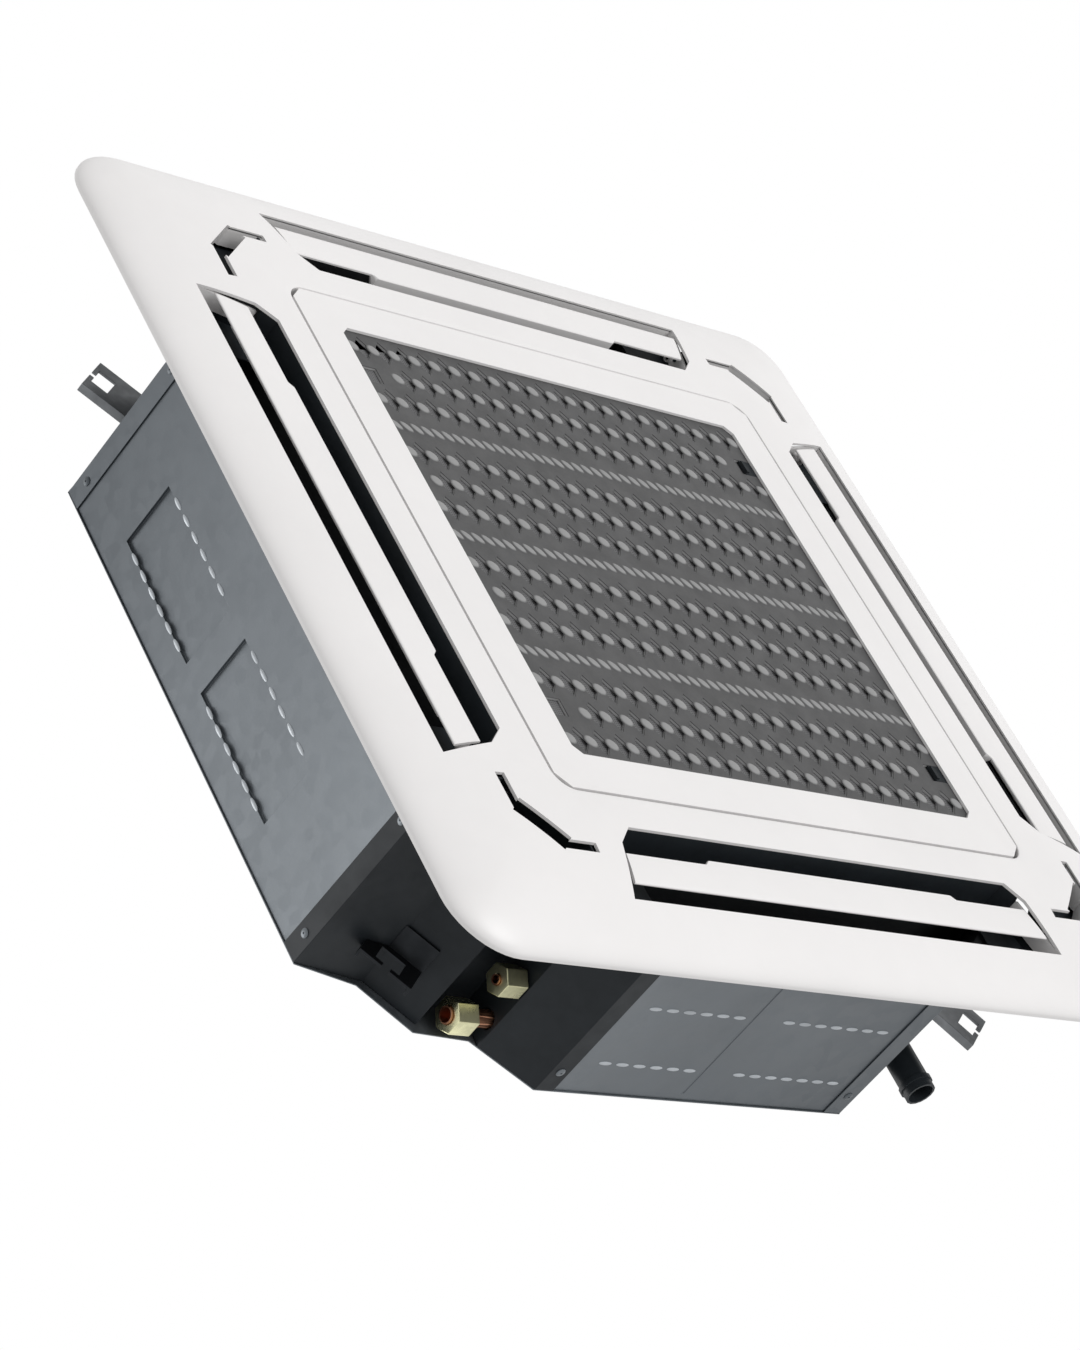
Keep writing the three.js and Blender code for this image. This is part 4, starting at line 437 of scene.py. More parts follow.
def lattice_finish(name, base, raised):
    """Lattice plastic with a painted highlight on its raised knots and ribs, lighter by their height, and
    painted light on the walls of its openings, which stand in shade."""
    material, tree, shader = start_material(name)
    face = -LATTICE_LOW[2] * MM
    tint = drifting(tree, base, 0.85, 40.0)
    # Painted highlight: the knots and ribs turn to the lighter colour as they rise out of the face.
    painted_highlight = place_group(tree, "Even sweep", Start=face + HIGHLIGHT_START, End=face + HIGHLIGHT_END)
    visible = blend_colours(tree, painted_highlight.outputs["Mask"], tint.outputs["Colour"], shaded(raised, 1))
    # Painted light: the walls inside the openings turn lighter, against the shade that falls there.
    painted_opening_light = place_group(tree, "Even sweep", Start=face - OPENING_LIGHT_START, End=face - OPENING_LIGHT_END)
    visible = blend_colours(tree, painted_opening_light.outputs["Mask"], visible, shaded(raised, 1.5))
    texture = place_group(tree, "Moulded grain", Scale=1100.0)
    surface(tree, shader, visible, tint.outputs["Mask"], (0.42, 0.55),
            texture.outputs["Height"], 0.15, 0.0002)
    return material


def net_finish(name, mesh, thread, pitch):
    """A filter net: pale threads over dark meshes, with the threads raised."""
    material, tree, shader = start_material(name)
    net = place_group(tree, "Woven net", Pitch=pitch)
    tint = drifting(tree, thread, 0.8, 10.0)
    base = blend_colours(tree, net.outputs["Mask"], shaded(mesh, 1), tint.outputs["Colour"])
    surface(tree, shader, base, net.outputs["Mask"], (0.9, 0.6), net.outputs["Mask"], 0.4, 0.0004)
    return material


def fin_finish(name, base, pitch):
    """Stacked fins: painted shade in the gaps between the fins' edges, at an even pitch along X and along
    Y, so that the coil's legs are ribbed on whichever way they run."""
    material, tree, shader = start_material(name)
    shader.inputs["Metallic"].default_value = 0.9
    tint = drifting(tree, base, 0.8, 12.0)
    net = place_group(tree, "Woven net", Pitch=pitch)
    # Painted shade: the gaps between the fins take a quarter of the fin colour.
    visible = blend_colours(tree, net.outputs["Mask"], shaded(base, 0.25), tint.outputs["Colour"])
    surface(tree, shader, visible, tint.outputs["Mask"], (0.3, 0.45), net.outputs["Mask"], 0.5, 0.0005)
    return material


def board_finish(name, base):
    """A circuit board: solder mask with lighter tracks along the borders of a cell pattern."""
    material, tree, shader = start_material(name)
    cells = tree.nodes.new("ShaderNodeTexVoronoi")
    cells.feature = "DISTANCE_TO_EDGE"
    cells.inputs["Scale"].default_value = 120.0
    tree.links.new(tree.nodes["Object place"].outputs["Object"], cells.inputs["Vector"])
    tracks = remap(tree, cells.outputs["Distance"], 0.03, 0.06, 1.0, 0.0)
    tint = drifting(tree, base, 0.7, 20.0)
    visible = blend_colours(tree, tracks, tint.outputs["Colour"], shaded(base, 1.8))
    surface(tree, shader, visible, tracks, (0.35, 0.25), tracks, 0.3, 0.0001)
    return material


FINISHES = {}
# Painted highlight on the lattice's knots, and painted light on the walls of its openings:
HIGHLIGHT_START, HIGHLIGHT_END = 0.0001, 0.0009  # metres out of the lattice's face
OPENING_LIGHT_START, OPENING_LIGHT_END = 0.0004, 0.0012  # metres into its openings


def make_finishes(colours):
    """Every finish by its material slot in the record, and two more for pieces of such a slot."""
    FINISHES.update({
        "white_plastic": plastic("panel_plastic", tuple(colours.panel), shade=0.96, roughness=(0.34, 0.44),
                                 grain=700.0, bump=0.08, drift=4.0),
        "black_plastic": plastic("black_plastic", tuple(colours.black), shade=0.6, roughness=(0.45, 0.6),
                                 grain=500.0, bump=0.22, drift=9.0, soiling=0.4, specular=0.22),
        "fan_plastic": plastic("fan_plastic", (0.035, 0.038, 0.042), shade=0.75, roughness=(0.35, 0.5)),
        "rubber": plastic("rubber", (0.022, 0.022, 0.023), shade=0.7, roughness=(0.65, 0.85),
                          grain=350.0, bump=0.4),
        "foam": plastic("foam", (0.045, 0.047, 0.05), shade=0.75, roughness=(0.8, 0.95),
                        grain=260.0, bump=0.6, drift=14.0, soiling=0.15, specular=0.1),
        "galvanised": galvanised("galvanised_sheet", tuple(colours.zinc), tuple(colours.zinc_painted_shade)),
        "bracket_steel": metal("bracket_steel", (0.21, 0.22, 0.23), shade=0.6, roughness=(0.35, 0.5),
                               grain=420.0, bump=0.2),
        # Painted highlight: the proud dashes on the casing get a zinc more than twice as light as the
        # sheet.
        "dash_highlight_zinc": metal("dash_highlight_zinc", (0.46, 0.49, 0.52), shade=0.85, roughness=(0.35, 0.5),
                          grain=500.0, bump=0.1, drift=30.0, metallic=0.4),
        # Painted shade: a darker copy of the bracket steel, for the bracket in the pipe corner.
        "bracket_steel_painted_shade": metal("bracket_steel_painted_shade", (0.035, 0.038, 0.042), shade=0.7, roughness=(0.45, 0.6),
                            grain=420.0, bump=0.2),
        "copper": metal("copper_tube", (0.62, 0.31, 0.19), shade=0.72, roughness=(0.22, 0.42)),
        "brass": metal("brass", tuple(colours.brass), shade=0.62, roughness=(0.22, 0.38),
                       grain=500.0, bump=0.12, drift=30.0),
        "fin_aluminium": fin_finish("fin_aluminium", (0.66, 0.68, 0.7), 0.002),
        "lattice_plastic": lattice_finish("lattice_plastic", tuple(colours.lattice), tuple(colours.knots)),
        "filter_net": net_finish("filter_net", (0.08, 0.08, 0.082), (0.17, 0.17, 0.173), 0.0024),
        "board": board_finish("circuit_board", (0.02, 0.16, 0.07)),
    })


# ------------------------------------------------------------------ mesh helpers
def quads(rows, columns, close_rows=False, close_columns=False):
    """Faces of a grid of points, row by row, optionally joined round in either direction."""
    i = np.arange(rows if close_rows else rows - 1)[:, None]
    j = np.arange(columns if close_columns else columns - 1)[None, :]
    below = (i + 1) % rows
    right = (j + 1) % columns
    corners = [i * columns + j, i * columns + right, below * columns + right, below * columns + j]
    return np.stack(np.broadcast_arrays(*corners), axis=-1).reshape(-1, 4).tolist()


def prism(outline, low, high):
    """A plan outline carried straight up from low to high, with its two flat ends."""
    plan = np.asarray(outline, float)
    count = len(plan)
    points = np.concatenate([np.c_[plan, np.full(count, z)] for z in (low, high)])
    around = np.arange(count)
    side = np.stack([around, np.roll(around, -1), np.roll(around, -1) + count, around + count], axis=-1)
    return points, side.tolist() + [around[::-1].tolist(), (around + count).tolist()]


def block(x0, x1, y0, y1, z0, z1):
    """An upright rectangular block."""
    return prism([[x0, y0], [x1, y0], [x1, y1], [x0, y1]], z0, z1)


def unit_dome(sides, rings):
    """The plan of an oval dome of unit radius, as rings of points round a middle point, and its
    faces, closed underneath. The last of the rings' radii is the skirt's."""
    angle = np.arange(sides) * 2 * np.pi / sides
    radius = np.asarray(rings)[:, None]
    u = np.concatenate([[0], (radius * np.cos(angle)).ravel()])
    v = np.concatenate([[0], (radius * np.sin(angle)).ravel()])
    j = np.arange(sides)
    following = (j + 1) % sides
    faces = np.stack([0 * j, 1 + j, 1 + following], axis=-1).tolist()
    for ring in range(len(rings) - 1):
        near, far = 1 + sides * ring, 1 + sides * (ring + 1)
        faces += np.stack([near + j, far + j, far + following, near + following], axis=-1).tolist()
    faces.append((1 + sides * (len(rings) - 1) + j)[::-1].tolist())
    return u, v, faces


def round_square(half, radius, arc=8, straight=16):
    """Plan rings of squares with round corners: a quarter arc about each corner's centre, and
    straight stretches shared out evenly between the arcs. half and radius are arrays of one value
    a ring, and the result has a ring in each row."""
    half, radius = np.broadcast_arrays(np.atleast_1d(half), np.atleast_1d(radius))
    corner = np.arange(4)
    angle = (corner[:, None] + np.linspace(0, 1, arc + 1)[None, :]) * np.pi / 2
    signs = np.array([[1, 1], [-1, 1], [-1, -1], [1, -1]])
    centre = (half - radius)[:, None, None] * signs[None, :, :]
    ends = np.stack([np.cos(angle), np.sin(angle)], axis=-1)
    arcs = centre[:, :, None, :] + radius[:, None, None, None] * ends[None]
    share = (np.arange(1, straight) / straight)[None, None, :, None]
    lines = arcs[:, :, -1:, :] * (1 - share) + np.roll(arcs, -1, axis=1)[:, :, :1, :] * share
    rings = np.concatenate([arcs, lines], axis=2)
    return rings.reshape(len(half), -1, 2)


def carried_round(profile, radius, **steps):
    """A closed (distance from centre, height) profile carried round a square with round corners."""
    profile = np.asarray(profile, float)
    rings = round_square(profile[:, 0], radius, **steps)
    heights = np.broadcast_to(profile[:, 1, None, None], rings.shape[:2] + (1,))
    points = np.concatenate([rings, heights], axis=-1)
    return points.reshape(-1, 3), quads(*rings.shape[:2], close_rows=True, close_columns=True)


def revolved(profile, centre, axis="Z", steps=48, closed=True):
    """A (radius, distance along) profile turned about an axis through centre. A closed profile gives
    a ring, and an open one that starts and ends on the axis gives a closed body."""
    profile = np.asarray(profile, float)
    angle = np.arange(steps) * 2 * np.pi / steps
    radius = profile[:, 0, None]
    across = radius * np.cos(angle), radius * np.sin(angle)
    along = np.broadcast_to(profile[:, 1, None], across[0].shape)
    order = {"Z": (across[0], across[1], along), "X": (along, across[0], across[1]),
             "Y": (across[1], along, across[0])}[axis]
    points = np.stack(order, axis=-1).reshape(-1, 3) + np.asarray(centre, float)
    return points, quads(len(profile), steps, close_rows=closed, close_columns=True)


def turned(points, quarters):
    """Points turned about Z by a number of quarter turns."""
    cosine, sine = [(1, 0), (0, 1), (-1, 0), (0, -1)][quarters % 4]
    points = np.asarray(points, float)
    return np.stack([points[:, 0] * cosine - points[:, 1] * sine,
                     points[:, 0] * sine + points[:, 1] * cosine, points[:, 2]], axis=-1)


def new_mesh(name, parts):
    """One mesh from closed parts given in millimetres: merged, with its normals facing out."""
    points = []
    faces = []
    start = 0
    for part_points, part_faces in parts:
        points.append(np.asarray(part_points, float))
        faces += [[start + corner for corner in face] for face in part_faces]
        start += len(part_points)
    mesh = bpy.data.meshes.new(name)
    mesh.from_pydata((np.concatenate(points) * MM).tolist(), [], faces)
    cleaned(mesh)
    return mesh


def cleaned(mesh, flatten=False):
    """Merges doubles, optionally joins faces that lie in one plane, and turns the normals outwards."""
    body = bmesh.new()
    body.from_mesh(mesh)
    bmesh.ops.remove_doubles(body, verts=body.verts, dist=0.000004)
    bmesh.ops.dissolve_degenerate(body, edges=body.edges, dist=0.000002)
    if flatten:
        bmesh.ops.dissolve_limit(body, angle_limit=math.radians(0.5), verts=body.verts, edges=body.edges)
    bmesh.ops.recalc_face_normals(body, faces=body.faces)
    body.to_mesh(mesh)
    body.free()


def shade(mesh, degrees=32):
    """Smooth shading, sharp where faces meet at more than this angle."""
    mesh.shade_smooth()
    mesh.set_sharp_from_angle(angle=math.radians(degrees))


def body_of(node):
    """The name of the body that a CAD node rides on."""
    return frame["nodes"][node]["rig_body"]


def show(name, mesh, slot, nodes=(), body=None, degrees=32):
    """Links a finished piece: its shading, finish, body, slot and the CAD nodes it stands for."""
    shade(mesh, degrees)
    piece = bpy.data.objects.new(name, mesh)
    bpy.context.scene.collection.objects.link(piece)
    mesh.materials.clear()
    mesh.materials.append(FINISHES[slot])
    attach(piece, body or body_of(nodes[0]))
    if nodes:
        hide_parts(*nodes)
    return piece


def rounded(piece, width, segments=2, degrees=32):
    """A Bevel modifier on the piece's sharp edges."""
    bevel = piece.modifiers.new("Rounded edges", "BEVEL")
    bevel.width = width
    bevel.segments = segments
    bevel.limit_method = "ANGLE"
    bevel.angle_limit = math.radians(degrees)
    bevel.use_clamp_overlap = True
    bevel.harden_normals = True
    return piece


def carved(mesh, cutters):
    """The mesh with closed cutters taken out of it, by an exact boolean that is applied at once."""
    target = bpy.data.objects.new("carving", mesh)
    tool = bpy.data.objects.new("cutters", new_mesh("cutters", cutters))
    for item in (target, tool):
        bpy.context.scene.collection.objects.link(item)
    boolean = target.modifiers.new("cut", "BOOLEAN")
    boolean.operation = "DIFFERENCE"
    boolean.solver = "EXACT"
    boolean.use_self = True
    boolean.object = tool
    result = bpy.data.meshes.new_from_object(target.evaluated_get(bpy.context.evaluated_depsgraph_get()))
    for item in (target, tool):
        bpy.data.objects.remove(item)
    return result


def joined(mesh, parts):
    """Adds closed parts, in millimetres, to a mesh."""
    extra = new_mesh("extra", parts)
    body = bmesh.new()
    body.from_mesh(mesh)
    body.from_mesh(extra)
    body.to_mesh(mesh)
    body.free()
    return mesh


def refined(node, slot, width=0.3, degrees=32, segments=2, extra=(), name=None):
    """A CAD node's form, merged and with its edges rounded, under the real finish."""
    mesh = frame["nodes"][node].data.copy()
    cleaned(mesh, flatten=True)
    if extra:
        mesh = joined(mesh, extra)
    piece = show(name or node + "_skin", mesh, slot, [node], degrees=degrees)
    return rounded(piece, width * MM, segments, degrees)


# ------------------------------------------------------------------ the panel
SLOT_INNER, SLOT_SHOULDER, SLOT_OUTER = 343.5, 362, 420  # a long outlet's corners, from the centre
SLOT_ENDS = {SLOT_INNER: 248, SLOT_SHOULDER: 266, SLOT_OUTER: 281}  # and its half lengths there
WALL, RIM, RIM_LIP = 3, 3, 12  # the shell's thickness, and its rim's height and width
DROP = -FACE_Z - RIM
CURB_TOP = 0.9  # top of the wall round the grille
PIVOT_R, PIVOT_Z = 382, -18  # a vane's axis
PIN_RADIUS = 2
CORNER_SLOT, CORNER_BEND, CORNER_LEG_END = 372, 334, 300  # a corner outlet's middle line
CORNER_LEG_WIDTH, CORNER_WIDTH = 10, 20


def dome_height(distance):
    """The panel's face: flat at the grille and falling away to the rim as a flattened oval,
    -rim - drop * (1 - t^2.6)^0.55 with t from 0 at the grille's opening to 1 at the rim."""
    t = np.clip((distance - GRILLE_OPENING) / (PANEL_HALF - GRILLE_OPENING), 0, 1)
    return -RIM - DROP * (1 - t ** 2.6) ** 0.55


def panel_profile():
    """The shell's closed section: the dome outwards, the rim and its lip, and back along the inner
    skin, which is the dome moved in along its own normals, to the wall round the grille."""
    t = np.concatenate([np.linspace(0, 0.85, 26), 1 - 0.15 * (1 - np.linspace(0, 1, 16)[1:]) ** 2])
    out = GRILLE_OPENING + t * (PANEL_HALF - GRILLE_OPENING)
    outer = np.c_[out, dome_height(out)]
    middle = GRILLE_OPENING + np.linspace(0.03, 0.985, 30) * (PANEL_HALF - GRILLE_OPENING)
    slope = (dome_height(middle + 0.2) - dome_height(middle - 0.2)) / 0.4
    bend = np.arctan(np.minimum(slope, 3))
    inner = np.c_[middle - WALL * np.sin(bend), dome_height(middle) + WALL * np.cos(bend)]
    inner = inner[(inner[:, 0] > GRILLE_OPENING + WALL + 0.5) & (inner[:, 1] < -RIM - 0.1)][::-1]
    rim = [[PANEL_HALF, 0], [PANEL_HALF - RIM_LIP, 0], [PANEL_HALF - RIM_LIP, -RIM],
           [inner[0, 0] + 0.4, -RIM]]
    curb = [[GRILLE_OPENING + WALL, FACE_Z + WALL], [GRILLE_OPENING + WALL, CURB_TOP],
            [GRILLE_OPENING, CURB_TOP], [GRILLE_OPENING, FACE_Z + 1.0],
            [GRILLE_OPENING + 0.4, FACE_Z + 0.3]]
    outer[0] = [GRILLE_OPENING + 1.2, dome_height(GRILLE_OPENING + 1.2)]
    return np.concatenate([outer, rim, inner, curb])


def corner_radius(distance, rim_radius, opening_radius):
    """Plan corner radius of the panel at a distance from its centre: it shrinks with the distance
    from the rim, down to the opening's."""
    return np.maximum(opening_radius, rim_radius - (PANEL_HALF - distance))


def slot_plan(grow=0.0):
    """Plan of one long outlet on the +X side, wider towards the rim."""
    ends = [[r + (grow if r == SLOT_OUTER else -grow if r == SLOT_INNER else 0), s + grow]
            for r, s in SLOT_ENDS.items()]
    return [[r, -s] for r, s in ends] + [[r, s] for r, s in ends[::-1]]


def corner_outlet_plan():
    """Plan of one corner outlet at +X +Y as one outline: a wide diagonal between two narrow legs."""
    narrow, step = CORNER_LEG_WIDTH / 2, CORNER_WIDTH / 2 * math.sqrt(0.5)
    c, b, end = CORNER_SLOT, CORNER_BEND, CORNER_LEG_END
    half = [[c - narrow, end], [c + narrow, end], [c + narrow, b + narrow], [c + step, b + step]]
    back = [[c - step, b - step], [c - narrow, b - narrow]]
    outer = half + [[y, x] for x, y in half[::-1]]
    inner = [[y, x] for x, y in back[::-1]]
    return outer + inner + back


def latch_window(y):
    """Block that cuts a latch's window through the wall round the grille, on the -X side."""
    half = LATCH_WIDTH / 2 + LATCH_GAP
    return block(-GRILLE_OPENING - WALL - 3, -GRILLE_OPENING + 1, y - half, y + half,
                 LATTICE_LOW[2] - 0.2, LATTICE_HIGH[2] + 0.4)


def slot_end(distance):
    """Half length of a long outlet at a distance from the centre, along its slanted end."""
    share = (distance - SLOT_SHOULDER) / (SLOT_OUTER - SLOT_SHOULDER)
    return SLOT_ENDS[SLOT_SHOULDER] + share * (SLOT_ENDS[SLOT_OUTER] - SLOT_ENDS[SLOT_SHOULDER])


def slot_walls():
    """Walls behind one outlet on the +X side, and the pin that carries the vane's free end."""
    long_half = SLOT_ENDS[SLOT_OUTER] + WALL
    near, far = SLOT_SHOULDER - 6, SLOT_OUTER + WALL
    bottom, long_top, end_top = dome_height(far) + 1.5, 1.2, -8
    walls = [block(SLOT_OUTER, far, -long_half, long_half, bottom, long_top)]
    for side in (-1, 1):
        start, stop = side * slot_end(near), side * slot_end(far)
        end = [[near, start], [far, stop], [far, stop + side * WALL], [near, start + side * WALL]]
        walls.append(prism(end, bottom, end_top))
    root, tip, chamfer = -slot_end(PIVOT_R) - 2, -slot_end(PIVOT_R) + 10, 0.6
    pin = [[0, root], [PIN_RADIUS, root], [PIN_RADIUS, tip - chamfer],
           [PIN_RADIUS - chamfer, tip], [0, tip]]
    walls.append(revolved(pin, (PIVOT_R, 0, PIVOT_Z), "Y", 16, closed=False))
    return walls


def corner_outlet_wall():
    """White wall along the rim side of a corner outlet, as a strip outside the outlet's outline."""
    narrow, step, thick = CORNER_LEG_WIDTH / 2, CORNER_WIDTH / 2 * math.sqrt(0.5), 2.0
    c, b, end = CORNER_SLOT, CORNER_BEND, CORNER_LEG_END
    bottom, top = -31.2, -10
    edge = [[c + narrow, end], [c + narrow, b + narrow], [c + step, b + step]]
    back = [[c + narrow + thick, end], [c + narrow + thick, b + narrow - 0.8],
            [c + step + 1.6, b + step + 1.2]]
    mirrored = [[y, x] for x, y in edge[::-1]]
    mirrored_back = [[y, x] for x, y in back[::-1]]
    return prism(edge + mirrored + mirrored_back[::-1] + back[::-1], bottom, top)


def outlet_liner():
    """Black lining of one outlet on the +X side: the wall on the grille's side with its slanted ends,
    and at each end a lid over the part that reaches past the casing."""
    near, far, shoulder = SLOT_INNER - 0.2, SLOT_OUTER - 0.2, SLOT_SHOULDER - 6
    bottom, end_bottom, lid, top = FACE_Z + 3.6, -7.7, -1.3, 1.0
    lid_start, lid_thickness = 222, 0.8
    thin, inner_wall, end_wall = 1.4, 2, 2.9
    length = SLOT_ENDS[SLOT_INNER]
    parts = [block(near - inner_wall, near, -length, length, bottom, top)]
    for side in (-1, 1):
        ends = {near: side * (length + end_wall), shoulder: side * (slot_end(shoulder) + end_wall),
                far: side * (slot_end(far) + end_wall)}
        slant = [[near, side * length], [shoulder, side * (length + shoulder - near)],
                 [shoulder - thin, side * (length + shoulder - near + thin)],
                 [near - thin, side * (length + thin)]]
        parts.append(prism(slant, bottom, lid))
        cover = [[near, side * lid_start], [far, side * lid_start], [far, ends[far]],
                 [shoulder, ends[shoulder]], [near, ends[near]]]
        parts.append(prism(cover, lid, lid + lid_thickness))
        end = [[shoulder, side * (slot_end(shoulder) + 0.2)], [far, side * (slot_end(far) + 0.2)],
               [far, ends[far]], [shoulder, ends[shoulder]]]
        parts.append(prism(end, end_bottom, lid))
    return parts


class CASSETTE_OT_panel(bpy.types.Operator):
    """Make the domed panel with its outlets"""

    bl_idname = "cassette.make_panel"
    bl_label = "Panel"

    def execute(self, context):
        sizes = context.scene.cassette_sizes
        profile = panel_profile()
        radius = corner_radius(profile[:, 0], sizes.panel_corner / MM, sizes.opening_corner / MM)
        shell = new_mesh("panel", [carried_round(profile, radius, arc=10, straight=22)])
        cutters = []
        for quarter in range(4):
            points, faces = prism(slot_plan(), FACE_Z - 5, 4.0)
            cutters.append((turned(points, quarter), faces))
            points, faces = prism(corner_outlet_plan(), FACE_Z - 5, -1.0)
            cutters.append((turned(points, quarter), faces))
        cutters += [latch_window(-LATCH_Y), latch_window(LATCH_Y)]
        shell = carved(shell, cutters)
        walls = [(turned(points, quarter), faces)
                 for quarter in range(4) for points, faces in slot_walls() + [corner_outlet_wall()]]
        shell = joined(shell, walls + hinge_hooks())
        piece = show("panel_shell", shell, "white_plastic", ["panel_frame"], degrees=34)
        rounded(piece, sizes.edge_round, 2, 50)
        for name in CORNER_NAMES:
            refined("corner_duct_" + name, "black_plastic")
        for quarter, name in enumerate(SIDE_NAMES):
            refined("vane_motor_" + name, "black_plastic", 0.5)
            lining = [(turned(points, quarter), faces) for points, faces in outlet_liner()]
            show("outlet_liner_" + name, new_mesh("liner", lining), "black_plastic",
                 body=body_of("panel_frame"))
        return {"FINISHED"}


HINGE_X, HINGE_Y, HINGE_Z = 290, 205, -28.7
HINGE_ROOM = 9


def hinge_hooks():
    """Arms from the +X wall over the grille's edge, each with a hook and a pin for the grille's eye."""
    parts = []
    arm_z = HINGE_Z + GRILLE_HALF - HINGE_X + 2
    reach = PIN_RADIUS + 0.6
    half = 1.5
    for side in (-1, 1):
        y = side * (HINGE_Y + HINGE_ROOM)
        parts.append(block(HINGE_X - reach, GRILLE_OPENING + 1, y - half, y + half, arm_z, arm_z + 3))
        parts.append(block(HINGE_X - reach, HINGE_X + reach - 0.3, y - half, y + half,
                           HINGE_Z, arm_z + 2.9))
        ends = sorted((y + side * 1.4, y - side * (HINGE_ROOM + 6)))
        for radius, (start, stop), steps in ((PIN_RADIUS, ends, 16), (reach, (y - 1.45, y + 1.45), 20)):
            rod = [[0, start], [radius, start], [radius, stop], [0, stop]]
            parts.append(revolved(rod, (HINGE_X, 0, HINGE_Z), "Y", steps, closed=False))
    return parts


# ------------------------------------------------------------------ the vanes
VANE_INNER, VANE_OUTER = VANE_LOW[0], VANE_HIGH[0]
VANE_BOTTOM, VANE_LIP_TOP = VANE_LOW[2], VANE_HIGH[2]
VANE_STEP = VANE_INNER + 5  # the inner edge over the narrower ends
VANE_STEP_START, VANE_STEP_LENGTH = 165, 6
VANE_END_GAP = 5.5
VANE_THICKNESS = 2.6
VANE_CROWN = 0.55
LUG_RADIUS, LUG_THICKNESS = 4.5, 5


def vane_surface():
    """One vane on the +X side, as a closed section carried along its length. Across, the section goes
    out along the slightly crowned underside, round the outer edge, back over the top and up the
    inner lip. Along, the inner edge and the lip's height pass smoothly from the middle stretch to
    the narrower stepped ends, and both ends follow the outlet's slanted sides."""
    along = np.concatenate([np.linspace(-1, -0.66, 12), np.linspace(-0.655, -0.56, 12),
                            np.linspace(-0.55, 0.55, 24), np.linspace(0.56, 0.655, 12),
                            np.linspace(0.66, 1, 12)])
    length = slot_end(VANE_OUTER) - VANE_END_GAP
    step = np.clip((np.abs(along) * length - VANE_STEP_START) / VANE_STEP_LENGTH, 0, 1)
    step = step * step * (3 - 2 * step)
    inner = VANE_INNER + (VANE_STEP - VANE_INNER) * step
    top = VANE_BOTTOM + VANE_THICKNESS
    lip = VANE_LIP_TOP + (top + 0.02 - VANE_LIP_TOP) * step
    across = np.linspace(0, 1, 13)
    crown = -VANE_CROWN * (1 - (2 * across - 1) ** 2)
    width = VANE_OUTER - inner
    edge = VANE_THICKNESS / 2
    sections = []
    for share, low in zip(across, crown):
        sections.append((inner + 0.8 + share * (width - 1.8), np.full_like(inner, VANE_BOTTOM + low)))
    for angle in np.linspace(-70, 70, 6):
        turn = math.radians(angle)
        sections.append((VANE_OUTER - edge + edge * math.cos(turn) + 0 * inner,
                         VANE_BOTTOM + edge + edge * math.sin(turn) + 0 * inner))
    for share in np.linspace(1, 0, 9)[1:]:
        back = inner + VANE_THICKNESS + 0.6 + share * (width - VANE_THICKNESS - 2)
        sections.append((back, top + 0 * inner))
    sections.append((inner + VANE_THICKNESS, top + 0.6 * (1 - step)))
    for share in (0.3, 0.65, 1.0):
        sections.append((inner + VANE_THICKNESS - 0.4 * share, top + (lip - top) * share))
    sections.append((inner + 0.5, lip))
    sections.append((inner, lip - 0.5 * (1 - step)))
    for share in (0.65, 0.3, 0.0):
        sections.append((inner, VANE_BOTTOM + 0.8 + (lip - VANE_BOTTOM - 1.6) * share))
    x = np.stack([section[0] for section in sections], axis=1)
    z = np.stack([section[1] for section in sections], axis=1)
    y = along[:, None] * (slot_end(x) - VANE_END_GAP)
    points = np.stack([x, y, z], axis=-1)
    rows, columns = x.shape
    faces = quads(rows, columns, close_columns=True)
    first = np.arange(columns)
    faces += [first[::-1].tolist(), (first + (rows - 1) * columns).tolist()]
    return points.reshape(-1, 3), faces


def vane_fittings():
    """The two stiffening ribs and the two lugs on top of a vane; a lug is a ring round the pin on a
    plate."""
    rib_half, rib_width = VANE_STEP_START + 70, 1.6
    parts = [block(x, x + rib_width, -rib_half, rib_half, VANE_BOTTOM + 1, VANE_BOTTOM + 6)
             for x in (388, 397)]
    start = slot_end(PIVOT_R) - 8
    hole = PIN_RADIUS + 0.4
    for side in (-1, 1):
        y0 = start - LUG_THICKNESS if side > 0 else -start
        y1 = y0 + LUG_THICKNESS
        ring = [[hole, y0], [LUG_RADIUS, y0], [LUG_RADIUS, y1], [hole, y1]]
        parts.append(revolved(ring, (PIVOT_R, 0, PIVOT_Z), "Y", 28))
        parts.append(block(PIVOT_R - LUG_RADIUS + 0.1, PIVOT_R + LUG_RADIUS - 0.1, y0 + 0.1, y1 - 0.1,
                           VANE_BOTTOM + 1, PIVOT_Z - 3))
    return parts


class CASSETTE_OT_vanes(bpy.types.Operator):
    """Make the four air vanes"""

    bl_idname = "cassette.make_vanes"
    bl_label = "Vanes"

    def execute(self, context):
        parts = [vane_surface()] + vane_fittings()
        for quarter, name in enumerate(SIDE_NAMES):
            mesh = new_mesh("vane", [(turned(points, quarter), faces) for points, faces in parts])
            piece = show("vane_blade_" + name, mesh, "white_plastic", ["vane_" + name])
            rounded(piece, 0.3 * MM, 2, 50)
        return {"FINISHED"}


# ------------------------------------------------------------------ the intake grille
CELL_WIDTH, CELL_ROW, BAND_ROWS = 25.6, 34.6, 4
LATCH_Y, LATCH_NOTCH, LATCH_WIDTH, LATCH_GAP = 205, 22, 20, 0.3
KNOT_SIDES = 12
KNOT_RINGS = (0.35, 0.7, 1.0, 1.0)


def near_notch(x, y):
    """True where a knot would reach into a notch for a latch or a hinge."""
    return ((np.abs(x) > LATTICE_HALF - LATCH_NOTCH - 9)
            & (np.abs(np.abs(y) - LATCH_Y) < LATCH_WIDTH / 2 + 8))


